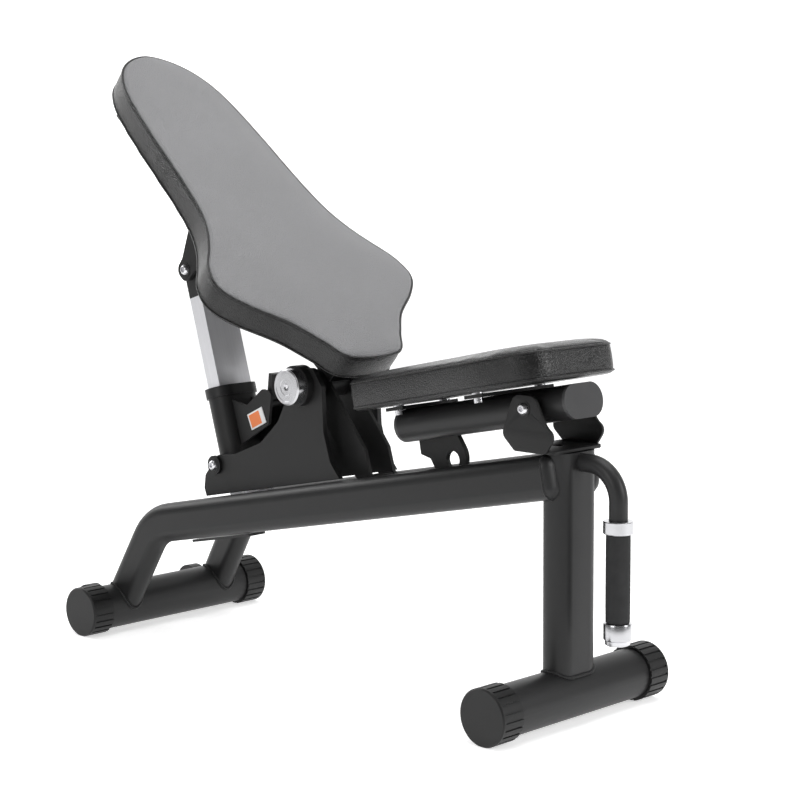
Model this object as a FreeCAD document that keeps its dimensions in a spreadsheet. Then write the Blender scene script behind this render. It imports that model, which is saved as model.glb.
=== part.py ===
import FreeCAD, Part
import math
import os
import re

import Sketcher
from FreeCAD import Placement, Rotation, Vector

# Adjustable weight bench. Millimetres, +X towards the seat's front end, +Y to the user's left, +Z up.
# The origin is on the floor, under the middle of the bench.

doc = FreeCAD.newDocument("weight_bench")
sheet = doc.addObject("Spreadsheet::Sheet", "Sizes")

sizes = {
    # overall frame
    "foot_spacing": 879, "rear_overhang": 442, "rear_foot_length": 367, "front_foot_length": 353,
    "foot_tube_diameter": 71, "foot_tube_wall": 3, "cap_diameter": 80, "cap_length": 40,
    "cap_face_thickness": 5, "cap_land": 0.6, "cap_groove_width": 3.2, "cap_groove_depth": 1.6,
    "cap_groove_count": 22, "post_width": 82, "post_depth": 46, "post_wall": 3, "post_top": 376,
    "rail_height": 62, "rail_width": 36, "rail_leg_spread": 99, "rail_bend_forward": 91,
    "rail_bend_height": 185, "rail_bend_spread": 93.7, "rail_bend_radius": 78,
    "rail_front_height": 344, "rail_front_spread": 39,
    # main pivot and side plates
    "pivot_forward": 405, "pivot_height": 432, "side_plate_inner": 53, "side_plate_thickness": 8,
    "pivot_hub_diameter": 62, "pivot_hub_reach": 12, "pivot_cap_diameter": 55, "pivot_cap_thickness": 17,
    "axle_diameter": 20, "bush_diameter": 30, "bush_length": 30, "pivot_tube_diameter": 44,
    "running_clearance": 0.05, "part_gap": 0.4, "weld_gap": 0.02,
    # strut
    "anchor_forward": 205, "anchor_height": 290, "anchor_boss_diameter": 30, "anchor_boss_reach": 5,
    "anchor_bolt_diameter": 12, "bolt_head_diameter": 17, "bolt_head_height": 6,
    "strut_pin_forward": 114, "strut_pin_height": 594, "bar_width": 66, "bar_depth": 29, "bar_wall": 3,
    "bar_length": 350, "fitting_top": 14, "fitting_length": 59, "ear_clearance": 3, "sleeve_width": 84, "sleeve_depth": 50,
    "sleeve_top": 106, "sleeve_bottom": 30, "sleeve_wall": 2.5, "collar_height": 16, "collar_wall": 3,
    "lock_plate_reach": 96, "lock_plate_height": 74, "lock_plate_thickness": 5, "lock_plate_spacing": 40,
    "lever_length": 46, "lever_width": 26, "lever_thickness": 9, "label_length": 46, "label_height": 32,
    "label_thickness": 0.8, "clevis_thickness": 6,
    # backrest
    "backrest_angle": 40.5, "back_edge_forward": 512, "back_edge_height": 484, "backrest_length": 708,
    "back_pad_thickness": 38, "back_board_thickness": 12, "spine_width": 50, "spine_depth": 30,
    "spine_wall": 2.5, "spine_end": 640, "cross_bar_depth": 12, "cross_bar_width": 40,
    "lever_arm_length": 175, "lever_arm_angle": 51, "lever_arm_width": 46, "lever_arm_thickness": 6,
    "lever_arm_spacing": 48, "roller_diameter": 17, "roller_pin_diameter": 8,
    # seat
    "seat_pivot_forward": 845, "seat_pivot_height": 435, "seat_angle": 11.2, "seat_tube_width": 80,
    "seat_tube_depth": 48, "seat_tube_wall": 3, "seat_tube_front": 56, "seat_tube_rear": 262,
    "tube_cap_thickness": 5, "seat_pad_gap": 33.6, "seat_board_thickness": 12, "seat_pad_thickness": 36,
    "seat_pad_front": 66, "seat_pad_length": 404, "seat_front_half": 108, "seat_rear_half": 74,
    "spacer_diameter": 16, "spacer_height": 13, "bracket_thickness": 5, "bracket_inner": 50,
    "seat_bolt_diameter": 12, "pivot_sleeve_diameter": 25, "cam_plate_thickness": 8,
    # handle, wheels and tray
    "handle_diameter": 25.4, "handle_reach": 63, "handle_height": 362, "handle_bend_radius": 48,
    "grip_diameter": 33, "grip_bottom": 151, "grip_length": 122, "handle_collar_diameter": 36,
    "handle_collar_height": 17, "handle_cap_bottom": 121, "handle_wall": 2, "wheel_diameter": 62,
    "wheel_width": 20, "wheel_back": 68, "wheel_spread": 108, "wheel_lift": 2, "wheel_axle_diameter": 10,
    "tray_length": 140, "tray_thickness": 4, "tray_forward": 168, "tray_slot_half": 48,
}
for row, (alias, value) in enumerate(sizes.items(), start=1):
    sheet.set(f"A{row}", alias)
    sheet.set(f"B{row}", str(value))
    sheet.setAlias(f"B{row}", alias)
doc.recompute()

nodes = {}


def size(expression):
    """The value of an expression on the sheet's sizes."""
    value = sheet.evalExpression(expression)
    return float(getattr(value, "Value", value))


def cell(expression):
    """The expression as an object outside the sheet writes it."""
    return re.sub(r"[a-z_]{4,}", lambda word: ("Sizes." if word[0] in sizes else "") + word[0], expression)


def bind(item, **expressions):
    for name, expression in expressions.items():
        item.setExpression(name, cell(expression))
    return item


def keep(node, item):
    """Names a finished piece, so that it is checked and written."""
    item.Label = node
    nodes[node] = item
    return item


def box(name, length, width, height, frame, centre):
    """A box with its middle at the centre point of a local frame."""
    item = bind(doc.addObject("Part::Box", name), Length=length, Width=width, Height=height)
    corner = Vector(size(length), size(width), size(height)) * -0.5
    item.Placement = frame * Placement(centre + corner, Rotation())
    return item


AXES = {
    "x": Rotation(Vector(0, 1, 0), 90),
    "y": Rotation(Vector(1, 0, 0), -90),
    "z": Rotation(),
}


def rod(name, diameter, length, frame, centre, axis="y"):
    """A cylinder with its middle at the centre point of a local frame."""
    item = bind(doc.addObject("Part::Cylinder", name), Radius=f"( {diameter} ) / 2", Height=length)
    half = Placement(Vector(0, 0, -size(length) / 2), Rotation())
    item.Placement = frame * Placement(centre, AXES[axis]) * half
    return item


def cut(name, base, *tools):
    for index, tool in enumerate(tools):
        item = doc.addObject("Part::Cut", f"{name}_cut_{index}")
        item.Base = base
        item.Tool = tool
        base = item
    return base


def fuse(name, *parts):
    item = doc.addObject("Part::MultiFuse", name)
    item.Shapes = list(parts)
    return item


def group(name, *parts):
    """Separate solids that share one node."""
    item = doc.addObject("Part::Compound", name)
    item.Links = list(parts)
    return item


def new_body(name, frame=Placement()):
    body = doc.addObject("PartDesign::Body", name)
    body.Placement = frame
    return body


def new_sketch(body, name, plane, lift=0.0):
    sketch = body.newObject("Sketcher::SketchObject", name)
    feature = [f for f in body.Origin.OriginFeatures if f.Role == plane][0]
    sketch.AttachmentSupport = (feature, [""])
    sketch.MapMode = "FlatFace"
    sketch.AttachmentOffset = Placement(Vector(0, 0, lift), Rotation())
    return sketch


def drive(sketch, constraint, expression):
    index = sketch.addConstraint(constraint)
    sketch.setExpression(f"Constraints[{index}]", cell(expression))
    return index


def draw_circle(sketch, diameter):
    line = sketch.addGeometry(Part.Circle(Vector(), Vector(0, 0, 1), size(diameter) / 2), False)
    sketch.addConstraint(Sketcher.Constraint("Coincident", line, 3, -1, 1))
    drive(sketch, Sketcher.Constraint("Diameter", line, size(diameter)), diameter)


def draw_oval(sketch, across, along):
    """A flat oval about the sketch's origin: two straight sides along x, two half-round ends."""
    radius = size(along) / 2
    reach = size(across) / 2 - radius
    top = sketch.addGeometry(Part.LineSegment(Vector(-reach, radius, 0), Vector(reach, radius, 0)), False)
    low = sketch.addGeometry(Part.LineSegment(Vector(reach, -radius, 0), Vector(-reach, -radius, 0)), False)
    right = sketch.addGeometry(Part.ArcOfCircle(
        Part.Circle(Vector(reach, 0, 0), Vector(0, 0, 1), radius), -math.pi / 2, math.pi / 2), False)
    left = sketch.addGeometry(Part.ArcOfCircle(
        Part.Circle(Vector(-reach, 0, 0), Vector(0, 0, 1), radius), math.pi / 2, 3 * math.pi / 2), False)
    for first, start, second, end in ((top, 2, right, 2), (right, 1, low, 1), (low, 2, left, 2), (left, 1, top, 1)):
        sketch.addConstraint(Sketcher.Constraint("Tangent", first, start, second, end))
    sketch.addConstraint(Sketcher.Constraint("Symmetric", right, 3, left, 3, -1, 1))
    sketch.addConstraint(Sketcher.Constraint("Horizontal", top))
    drive(sketch, Sketcher.Constraint("Radius", right, radius), f"( {along} ) / 2")
    drive(sketch, Sketcher.Constraint("DistanceX", left, 3, right, 3, 2 * reach), f"{across} - ( {along} )")


def draw_outline(sketch, corners):
    """A closed polygon whose corners are expressions on the sheet's sizes."""
    points = [Vector(size(x), size(z), 0) for x, z in corners]
    count = len(points)
    for index in range(count):
        sketch.addGeometry(Part.LineSegment(points[index], points[(index + 1) % count]), False)
    for index in range(count):
        sketch.addConstraint(Sketcher.Constraint("Coincident", index, 2, (index + 1) % count, 1))
    for index, (x, z) in enumerate(corners):
        drive(sketch, Sketcher.Constraint("DistanceX", -1, 1, index, 1, points[index].x), x)
        drive(sketch, Sketcher.Constraint("DistanceY", -1, 1, index, 1, points[index].y), z)


def pad(body, sketch, length):
    feature = body.newObject("PartDesign::Pad", sketch.Name + "_pad")
    feature.Profile = sketch
    bind(feature, Length=length)
    feature.Midplane = True
    doc.recompute()
    return feature


def pocket(body, sketch, length):
    before = body.Shape.Volume
    feature = body.newObject("PartDesign::Pocket", sketch.Name + "_pocket")
    feature.Profile = sketch
    bind(feature, Length=length)
    feature.Midplane = True
    doc.recompute()
    if feature.Shape.Volume >= before - 0.001:
        raise RuntimeError(sketch.Name + " cuts nothing")
    return feature


def round_corners(body, feature, corners, radius):
    """Rounds the plate's corners that stand across its thickness."""
    names = []
    for x, z in corners:
        corner = Vector(size(x), 0, size(z))
        for index, edge in enumerate(feature.Shape.Edges, start=1):
            if len(edge.Vertexes) < 2:
                continue
            ends = [vertex.Point for vertex in edge.Vertexes]
            across = abs(ends[0].x - ends[1].x) + abs(ends[0].z - ends[1].z) < 0.01
            near = math.hypot(ends[0].x - corner.x, ends[0].z - corner.z) < 0.01
            if across and near:
                names.append(f"Edge{index}")
    if len(names) != len(corners):
        raise RuntimeError(body.Name + " has corners that are not found")
    fillet = body.newObject("PartDesign::Fillet", feature.Name + "_round")
    fillet.Base = (feature, names)
    fillet.Radius = radius
    doc.recompute()
    return fillet


def plate(name, corners, thickness, frame, rounds=()):
    """A flat plate in the frame's XZ plane, centred on it, with rounded corners."""
    body = new_body(name, frame)
    sketch = new_sketch(body, name + "_outline", "XZ_Plane")
    draw_outline(sketch, corners)
    doc.recompute()
    feature = pad(body, sketch, thickness)
    for chosen, radius in rounds:
        feature = round_corners(body, feature, [corners[index] for index in chosen], radius)
    return body


def oval_tube(name, across, along, wall, length, frame, plane="XY_Plane"):
    """A flat-oval tube along its own Z, centred; its wide side runs along local x."""
    body = new_body(name, frame)
    outline = new_sketch(body, name + "_outline", plane)
    draw_oval(outline, across, along)
    doc.recompute()
    pad(body, outline, length)
    bore = new_sketch(body, name + "_inside", plane)
    draw_oval(bore, f"{across} - 2 * ( {wall} )", f"{along} - 2 * ( {wall} )")
    doc.recompute()
    pocket(body, bore, f"{length} + 2")
    return body


def solid_oval(name, across, along, length, frame):
    body = new_body(name, frame)
    outline = new_sketch(body, name + "_outline", "XY_Plane")
    draw_oval(outline, across, along)
    doc.recompute()
    pad(body, outline, length)
    return body


# ---------------------------------------------------------------- frames and main points
rear_x = -size("rear_overhang")
front_x = rear_x + size("foot_spacing")
foot_z = size("cap_diameter / 2 - cap_land")
pivot = Vector(rear_x + size("pivot_forward"), 0, size("pivot_height"))
anchor = Vector(rear_x + size("anchor_forward"), 0, size("anchor_height"))
strut_pin = Vector(rear_x + size("strut_pin_forward"), 0, size("strut_pin_height"))
seat_pivot = Vector(rear_x + size("seat_pivot_forward"), 0, size("seat_pivot_height"))
Y_AXIS = Vector(0, 1, 0)
WORLD = Placement()
at_pivot = Placement(pivot, Rotation())
at_anchor = Placement(anchor, Rotation())
strut_vector = strut_pin - anchor
strut_length = strut_vector.Length
strut_lean = math.degrees(math.atan2(strut_vector.x, strut_vector.z))
at_strut = Placement(anchor, Rotation(Y_AXIS, strut_lean))
back_edge = Vector(rear_x + size("back_edge_forward"), 0, size("back_edge_height"))
at_back = Placement(back_edge, Rotation(Y_AXIS, size("backrest_angle")))
at_seat = Placement(seat_pivot, Rotation(Y_AXIS, -size("seat_angle")))


# ---------------------------------------------------------------- feet
def foot_cap(name, foot_x, end_y, side):
    """A ribbed plastic cup over the end of a foot tube, with a small flat to stand on."""
    frame = Placement(Vector(foot_x, end_y, foot_z), Rotation(Vector(1, 0, 0), -90 * side))
    body = new_body(name + "_cup", frame)
    disc = new_sketch(body, name + "_disc", "XY_Plane")
    draw_circle(disc, "cap_diameter")
    doc.recompute()
    cup = body.newObject("PartDesign::Pad", name + "_cup_pad")
    cup.Profile = disc
    bind(cup, Length="cap_length")
    cup.Reversed = True
    doc.recompute()
    rim = [f"Edge{i}" for i, e in enumerate(cup.Shape.Edges, start=1)
           if e.Curve.TypeId == "Part::GeomCircle" and abs(e.BoundBox.ZMax) < 0.01]
    chamfer = body.newObject("PartDesign::Chamfer", name + "_edge")
    chamfer.Base = (cup, rim[:1])
    chamfer.Size = 2
    doc.recompute()
    inside = new_sketch(body, name + "_inside", "XY_Plane", -size("cap_face_thickness"))
    draw_circle(inside, "foot_tube_diameter + 2 * weld_gap")
    doc.recompute()
    bore = body.newObject("PartDesign::Pocket", name + "_bore")
    bore.Profile = inside
    bind(bore, Length="cap_length")
    doc.recompute()
    groove_outline = new_sketch(body, name + "_groove_outline", "XY_Plane", -size("cap_face_thickness"))
    draw_outline(groove_outline, [
        ("cap_diameter / 2 - cap_groove_depth", "-cap_groove_width / 2"),
        ("cap_diameter / 2 + 2", "-cap_groove_width / 2"),
        ("cap_diameter / 2 + 2", "cap_groove_width / 2"),
        ("cap_diameter / 2 - cap_groove_depth", "cap_groove_width / 2")])
    doc.recompute()
    groove = body.newObject("PartDesign::Pocket", name + "_groove")
    groove.Profile = groove_outline
    bind(groove, Length="cap_length")
    doc.recompute()
    pattern = body.newObject("PartDesign::PolarPattern", name + "_grooves")
    pattern.Originals = [groove]
    pattern.Axis = (disc, ["N_Axis"])
    pattern.Angle = 360
    bind(pattern, Occurrences="cap_groove_count")
    body.Tip = pattern
    doc.recompute()
    floor = box(name + "_floor", "cap_diameter", "cap_length * 3", "20", WORLD, Vector(foot_x, end_y, -10))
    return keep(name, cut(name, body, floor))


for foot, foot_x in (("rear", rear_x), ("front", front_x)):
    length = f"{foot}_foot_length - 2 * cap_face_thickness"
    frame = Placement(Vector(foot_x, 0, foot_z), Rotation())
    outer = rod(f"{foot}_foot_outer", "foot_tube_diameter", length, frame, Vector())
    inner = rod(f"{foot}_foot_inner", "foot_tube_diameter - 2 * foot_tube_wall", length + " + 2", frame, Vector())
    keep(f"{foot}_foot_tube", cut(f"{foot}_foot_tube", outer, inner))
    for hand, side in (("left", 1), ("right", -1)):
        foot_cap(f"{foot}_foot_cap_{hand}", foot_x, side * size(f"{foot}_foot_length / 2"), side)

# ---------------------------------------------------------------- front post, saddled on the foot tube
post_base = foot_z + size("foot_tube_diameter") / 4
post_length = f"post_top - {post_base}"
post_frame = Placement(Vector(front_x, 0, (size("post_top") + post_base) / 2), Rotation(Vector(0, 0, 1), 90))
post = oval_tube("post_blank", "post_width", "post_depth", "post_wall", post_length, post_frame)
saddle = rod("post_saddle", "foot_tube_diameter + 2 * weld_gap", "post_width * 2",
             Placement(Vector(front_x, 0, foot_z), Rotation()), Vector())
keep("front_post", cut("front_post", post, saddle))


# ---------------------------------------------------------------- bent rails
def rail(name, side):
    """One flat-oval tube, bent once: a leg on the rear foot, then a long run that meets the post."""
    foot = Vector(rear_x, side * size("rail_leg_spread"), foot_z)
    bend = Vector(rear_x + size("rail_bend_forward"), side * size("rail_bend_spread"), size("rail_bend_height"))
    front = Vector(front_x, side * size("rail_front_spread"), size("rail_front_height"))
    back_way = (foot - bend).normalize()
    front_way = (front - bend).normalize()
    half_turn = back_way.getAngle(front_way) / 2
    setback = size("rail_bend_radius") / math.tan(half_turn)
    bisector = (back_way + front_way).normalize()
    centre = bend + bisector * (size("rail_bend_radius") / math.sin(half_turn))
    start = bend + back_way * setback
    end = bend + front_way * setback
    middle = centre - bisector * size("rail_bend_radius")
    path = Part.Wire([Part.LineSegment(foot, start).toShape(), Part.Arc(start, middle, end).toShape(),
                      Part.LineSegment(end, front).toShape()])
    normal = back_way.cross(front_way).normalize()
    upright = normal.cross(back_way).normalize()

    def section(inset):
        radius = size("rail_width") / 2 - inset
        reach = size("rail_height") / 2 - size("rail_width") / 2
        tips = [foot + upright * (sign * reach) for sign in (1, -1)]
        corners = [tips[0] + normal * radius, tips[1] + normal * radius,
                   tips[1] - normal * radius, tips[0] - normal * radius]
        lower = Part.Arc(corners[1], tips[1] - upright * radius, corners[2]).toShape()
        upper = Part.Arc(corners[3], tips[0] + upright * radius, corners[0]).toShape()
        return Part.Wire([Part.LineSegment(corners[0], corners[1]).toShape(), lower,
                          Part.LineSegment(corners[2], corners[3]).toShape(), upper])

    tube = path.makePipeShell([section(0)], True, False)
    tube = tube.cut(path.makePipeShell([section(size("post_wall"))], True, False))
    item = doc.addObject("Part::Feature", name + "_bent")
    item.Shape = tube
    foot_round = rod(name + "_foot_round", "foot_tube_diameter + 2 * weld_gap", "rear_foot_length",
                     Placement(Vector(rear_x, 0, foot_z), Rotation()), Vector())
    return keep(name, cut(name, item, foot_round, post_envelope))


post_envelope = solid_oval("post_envelope", "post_width + 2 * weld_gap", "post_depth + 2 * weld_gap",
                           "post_top * 2", Placement(Vector(front_x, 0, foot_z), Rotation(Vector(0, 0, 1), 90)))
rails = {hand: rail(f"{hand}_rail", side) for hand, side in (("left", 1), ("right", -1))}


# ---------------------------------------------------------------- side plates with the main pivot's housings
def rail_top(forward):
    """The height of the rails' upper side at a distance ahead of the rear foot."""
    run = size("foot_spacing - rail_bend_forward")
    share = (forward - size("rail_bend_forward")) / run
    middle = size("rail_bend_height") + share * size("rail_front_height - rail_bend_height")
    return middle + size("rail_height / 2")


def side_plate(name, side):
    lift = "pivot_height - anchor_height"
    reach = "pivot_forward - anchor_forward"
    low = rail_top(size("anchor_forward")) - size("anchor_height") + 3
    rise = (rail_top(size("anchor_forward") + 100) - rail_top(size("anchor_forward"))) / 100
    middle = side * size("side_plate_inner + side_plate_thickness / 2")
    frame = Placement(anchor + Vector(0, middle, 0), Rotation())
    foot = [(f"{along}", f"{low + rise * size(along):.3f}") for along in ("pivot_forward - anchor_forward + 84", "-25")]
    corners = [
        foot[0], (f"{reach} + 64", f"{low + 80:.3f}"), (f"{reach} + 50", f"{lift} - 66"), (f"{reach} + 47", f"{lift} + 2"),
        (f"{reach} + 28", f"{lift} + 28"), (f"{reach} - 26", f"{lift} + 26"), (f"{reach} - 32", f"{lift} - 24"),
        (f"{reach} - 52", f"{lift} - 60"), (f"{reach} - 92", f"{lift} - 96"), ("46", "22"), ("8", "17"), ("-15", "8"),
        ("-16", "-6"), ("-27", "-19"), ("-30", f"{low + 8:.3f}"), foot[1]]
    rounds = [([1, 2, 6, 7, 8, 9], 24.0), ([4, 5], 10.0), ([10, 11, 12, 13], 5.0)]
    body = plate(name + "_sheet", corners, "side_plate_thickness", frame, rounds)
    beside = Vector(0, middle, 0)
    pivot_hole = rod(name + "_pivot_hole", "pivot_hub_diameter", "side_plate_thickness * 3", at_pivot, beside)
    anchor_hole = rod(name + "_anchor_hole", "anchor_bolt_diameter + 0.4", "side_plate_thickness * 3", at_anchor, beside)
    return keep(name, cut(name, body, pivot_hole, anchor_hole))


def pivot_housing(name, side):
    """The round housing welded into a side plate, bored for the axle."""
    length = "side_plate_thickness + pivot_hub_reach"
    middle = Vector(0, side * size("side_plate_inner + ( side_plate_thickness + pivot_hub_reach ) / 2"), 0)
    outer = rod(name + "_outer", "pivot_hub_diameter - 2 * weld_gap", length, at_pivot, middle)
    bore = rod(name + "_bore", "axle_diameter + 2 * weld_gap", length + " + 2", at_pivot, middle)
    return keep(name, cut(name, outer, bore))


axle_reach = "side_plate_inner + side_plate_thickness + pivot_hub_reach"
for hand, side in (("left", 1), ("right", -1)):
    side_plate(f"{hand}_side_plate", side)
    pivot_housing(f"{hand}_pivot_housing", side)
    start = size(axle_reach + " + weld_gap")
    place = Vector(0, side * (start + size("pivot_cap_thickness / 2")), 0)
    disc = rod(f"{hand}_cap_disc", "pivot_cap_diameter", "pivot_cap_thickness", at_pivot, place)
    dimple_place = Vector(0, side * (start + size("pivot_cap_thickness")), 0)
    dimple = rod(f"{hand}_cap_dimple", "7", "4", at_pivot, dimple_place)
    keep(f"{hand}_pivot_cap", cut(f"{hand}_pivot_cap", disc, dimple))
keep("pivot_axle", rod("pivot_axle", "axle_diameter", f"2 * ( {axle_reach} )", at_pivot, Vector()))

# ---------------------------------------------------------------- lower anchor of the strut
bosses = []
bolts = []
for side in (1, -1):
    outside = side * size("side_plate_inner + side_plate_thickness")
    boss_middle = Vector(0, outside + side * size("weld_gap + anchor_boss_reach / 2"), 0)
    boss = rod("anchor_boss", "anchor_boss_diameter", "anchor_boss_reach", at_anchor, boss_middle)
    hole = rod("anchor_boss_hole", "anchor_bolt_diameter + 0.4", "anchor_boss_reach * 3", at_anchor, boss_middle)
    bosses.append(cut("anchor_boss", boss, hole))
    shank_length = "side_plate_thickness + anchor_boss_reach + weld_gap"
    shank_middle = Vector(0, side * size(f"side_plate_inner + ( {shank_length} ) / 2"), 0)
    head_middle = Vector(0, side * size(f"side_plate_inner + {shank_length} + weld_gap + bolt_head_height / 2"), 0)
    shank = rod("anchor_shank", "anchor_bolt_diameter", shank_length + " + 2", at_anchor, shank_middle)
    head = rod("anchor_head", "bolt_head_diameter", "bolt_head_height", at_anchor, head_middle)
    bolts.append(fuse("anchor_bolt", shank, head))
keep("strut_anchor_bosses", group("strut_anchor_bosses", *bosses))
keep("strut_anchor_bolts", group("strut_anchor_bolts", *bolts))

# ---------------------------------------------------------------- tray between the rails, open for the strut
tray_x = rear_x + size("tray_forward")
tray_rise = math.degrees(math.atan2(size("rail_front_height - rail_bend_height"),
                                    size("foot_spacing - rail_bend_forward")))
tray_top = rail_top(size("tray_forward")) - size("rail_height") - 2
at_tray = Placement(Vector(tray_x, 0, tray_top - size("tray_thickness") / 2), Rotation(Y_AXIS, -tray_rise))
tray_sheet = box("tray_sheet", "tray_length", "2 * rail_leg_spread - 34", "tray_thickness", at_tray,
                 Vector(size("tray_length / 2"), 0, 0))
tray_slot = box("tray_slot", "tray_length", "2 * tray_slot_half", "tray_thickness * 4", at_tray,
                Vector(size("tray_length / 2 + 36"), 0, 0))
keep("base_tray", cut("base_tray", tray_sheet, tray_slot))

# ---------------------------------------------------------------- backrest
back_of_pad = "back_pad_thickness + back_board_thickness"
pad_profile = [(0, 48), (40, 84), (80, 117), (120, 168), (160, 200), (205, 194), (245, 168), (285, 145),
               (330, 130), (400, 121), (480, 116), (560, 109), (620, 98), (665, 76), (695, 42)]


def pad_solid(name, inset, low, high, frame, profile, far):
    """A closed cushion-shaped solid between two heights of a frame, from its half-width profile."""
    half = [Vector(-along, max(width - inset, 4), low) for along, width in profile]
    half[0].x -= inset
    tip = Vector(-far + inset, 0, low)
    other = [Vector(p.x, -p.y, low) for p in reversed(half)]
    curve = Part.BSplineCurve()
    curve.interpolate(half + [tip] + other)
    edge = curve.toShape()
    close = Part.LineSegment(other[-1], half[0]).toShape()
    face = Part.Face(Part.Wire([edge, close]))
    item = doc.addObject("Part::Feature", name)
    item.Shape = face.extrude(Vector(0, 0, high - low))
    item.Placement = frame
    return keep(name, item)


stretch = size("backrest_length") / 708
profile = [(along * stretch, width) for along, width in pad_profile]
board_low = -size(back_of_pad)
board_high = board_low + size("back_board_thickness")
pad_solid("backrest_pad", 0, board_high + size("weld_gap"), 0, at_back, profile, size("backrest_length"))
pad_solid("backrest_board", 6, board_low, board_high, at_back, profile, size("backrest_length"))

pivot_in_back = at_back.inverse().multVec(pivot)
spine_z = board_low - size("cross_bar_depth + spine_depth / 2") - 2 * size("weld_gap")
pivot_tube_length = "2 * ( side_plate_inner - 1.5 )"
tube_outer = rod("pivot_tube_outer", "pivot_tube_diameter", pivot_tube_length, at_pivot, Vector())
tube_bore = rod("pivot_tube_bore", "bush_diameter + 2 * weld_gap", pivot_tube_length + " + 2", at_pivot, Vector())
keep("backrest_pivot_tube", cut("backrest_pivot_tube", tube_outer, tube_bore))
bushes = []
for side in (1, -1):
    middle = Vector(0, side * size(f"( {pivot_tube_length} - bush_length ) / 2"), 0)
    outer = rod("bush_outer", "bush_diameter", "bush_length", at_pivot, middle)
    bore = rod("bush_bore", "axle_diameter + 2 * running_clearance", "bush_length + 2", at_pivot, middle)
    bushes.append(cut("bush", outer, bore))
keep("pivot_bushes", group("pivot_bushes", *bushes))

tube_clear = rod("pivot_tube_clear", "pivot_tube_diameter + 2 * weld_gap", "200", at_pivot, Vector())
spine_start = pivot_in_back.x + 16
spine_length = f"spine_end + {spine_start}"
spine_middle = Vector((spine_start - size("spine_end")) / 2, 0, spine_z)
spine_outer = box("spine_outer", spine_length, "spine_width", "spine_depth", at_back, spine_middle)
spine_inner = box("spine_inner", spine_length + " + 2", "spine_width - 2 * spine_wall",
                  "spine_depth - 2 * spine_wall", at_back, spine_middle)
keep("backrest_spine", cut("backrest_spine", spine_outer, spine_inner, tube_clear))

cross_z = board_low - size("cross_bar_depth / 2 + weld_gap")
bars = []
fasteners = []
for along, reach in ((150, 190), (600, 172)):
    middle = Vector(-along * stretch, 0, cross_z)
    bars.append(box("back_cross_bar", "cross_bar_width", str(reach), "cross_bar_depth", at_back, middle))
    for side in (1, -1):
        place = Vector(-along * stretch, side * (reach / 2 - 16), cross_z - size("cross_bar_depth / 2") - 3.02)
        fasteners.append(rod("back_bolt", "14", "6", at_back, place, "z"))
keep("backrest_cross_bars", group("backrest_cross_bars", *bars))
keep("backrest_bolts", group("backrest_bolts", *fasteners))

# clevis that holds the strut's upper pin
pin_in_back = at_back.inverse().multVec(strut_pin)
clevis_top = spine_z - size("spine_depth / 2 + weld_gap")
ear_inner = "bar_width / 2 + ear_clearance"
ears = []
for side in (1, -1):
    middle = side * size(f"{ear_inner} + clevis_thickness / 2")
    frame = at_back * Placement(Vector(pin_in_back.x, middle, pin_in_back.z), Rotation())
    rise = clevis_top - pin_in_back.z
    corners = [("-44", f"{rise:.3f}"), ("-17", "8"), ("-17", "-17"), ("17", "-17"), ("17", "8"), ("40", f"{rise:.3f}")]
    ears.append(plate("clevis_ear", corners, "clevis_thickness", frame, [([2, 3], 14.0), ([1, 4], 18.0)]))
web = box("clevis_web", "84", f"2 * ( {ear_inner} )", "clevis_thickness", at_back,
          Vector(pin_in_back.x - 2, 0, clevis_top - size("clevis_thickness / 2")))
clevis = fuse("clevis_welded", web, *ears)
pin_frame = Placement(strut_pin, Rotation())
pin_hole = rod("clevis_hole", "anchor_bolt_diameter + 2 * weld_gap", "200", pin_frame, Vector())
keep("strut_clevis", cut("strut_clevis", clevis, pin_hole))
pin_length = f"2 * ( {ear_inner} + clevis_thickness )"
pin_shank = rod("clevis_shank", "anchor_bolt_diameter", pin_length, pin_frame, Vector())
pin_heads = []
for side in (1, -1):
    middle = Vector(0, side * size(f"( {pin_length} ) / 2 + weld_gap + bolt_head_height / 2"), 0)
    pin_heads.append(rod("clevis_head", "bolt_head_diameter", "bolt_head_height + 2 * weld_gap", pin_frame, middle))
keep("strut_clevis_bolt", fuse("strut_clevis_bolt", pin_shank, *pin_heads))

# lever arms that carry the seat's roller
arm_turn = Rotation(Y_AXIS, size("lever_arm_angle"))
at_arm = Placement(pivot, arm_turn)
roller_place = Vector(size("lever_arm_length"), 0, 0)
arms = []
for side in (1, -1):
    frame = at_arm * Placement(Vector(0, side * size("lever_arm_spacing / 2"), 0), Rotation())
    half = "lever_arm_width / 2"
    corners = [("12", f"-( {half} )"), ("lever_arm_length - 34", f"-( {half} )"), ("lever_arm_length + 11", "-12"),
               ("lever_arm_length + 11", "9"), ("lever_arm_length - 6", "9"), ("lever_arm_length - 40", half), ("12", half)]
    blank = plate("lever_arm", corners, "lever_arm_thickness", frame, [([2, 3], 7.0)])
    hole = rod("lever_arm_hole", "roller_pin_diameter + 2 * weld_gap", "lever_arm_thickness * 3", frame, roller_place)
    arms.append(cut("lever_arm_bored", blank, hole, tube_clear))
keep("seat_lever_arms", group("seat_lever_arms", *arms))
pin_span = "lever_arm_spacing + lever_arm_thickness + 6"
keep("roller_pin", rod("roller_pin", "roller_pin_diameter", pin_span, at_arm, roller_place))
roller_width = "lever_arm_spacing - lever_arm_thickness - 2"
roller = rod("roller_outer", "roller_diameter", roller_width, at_arm, roller_place)
roller_bore = rod("roller_bore", "roller_pin_diameter + 2 * running_clearance", roller_width + " + 2", at_arm, roller_place)
keep("seat_roller", cut("seat_roller", roller, roller_bore))

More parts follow.
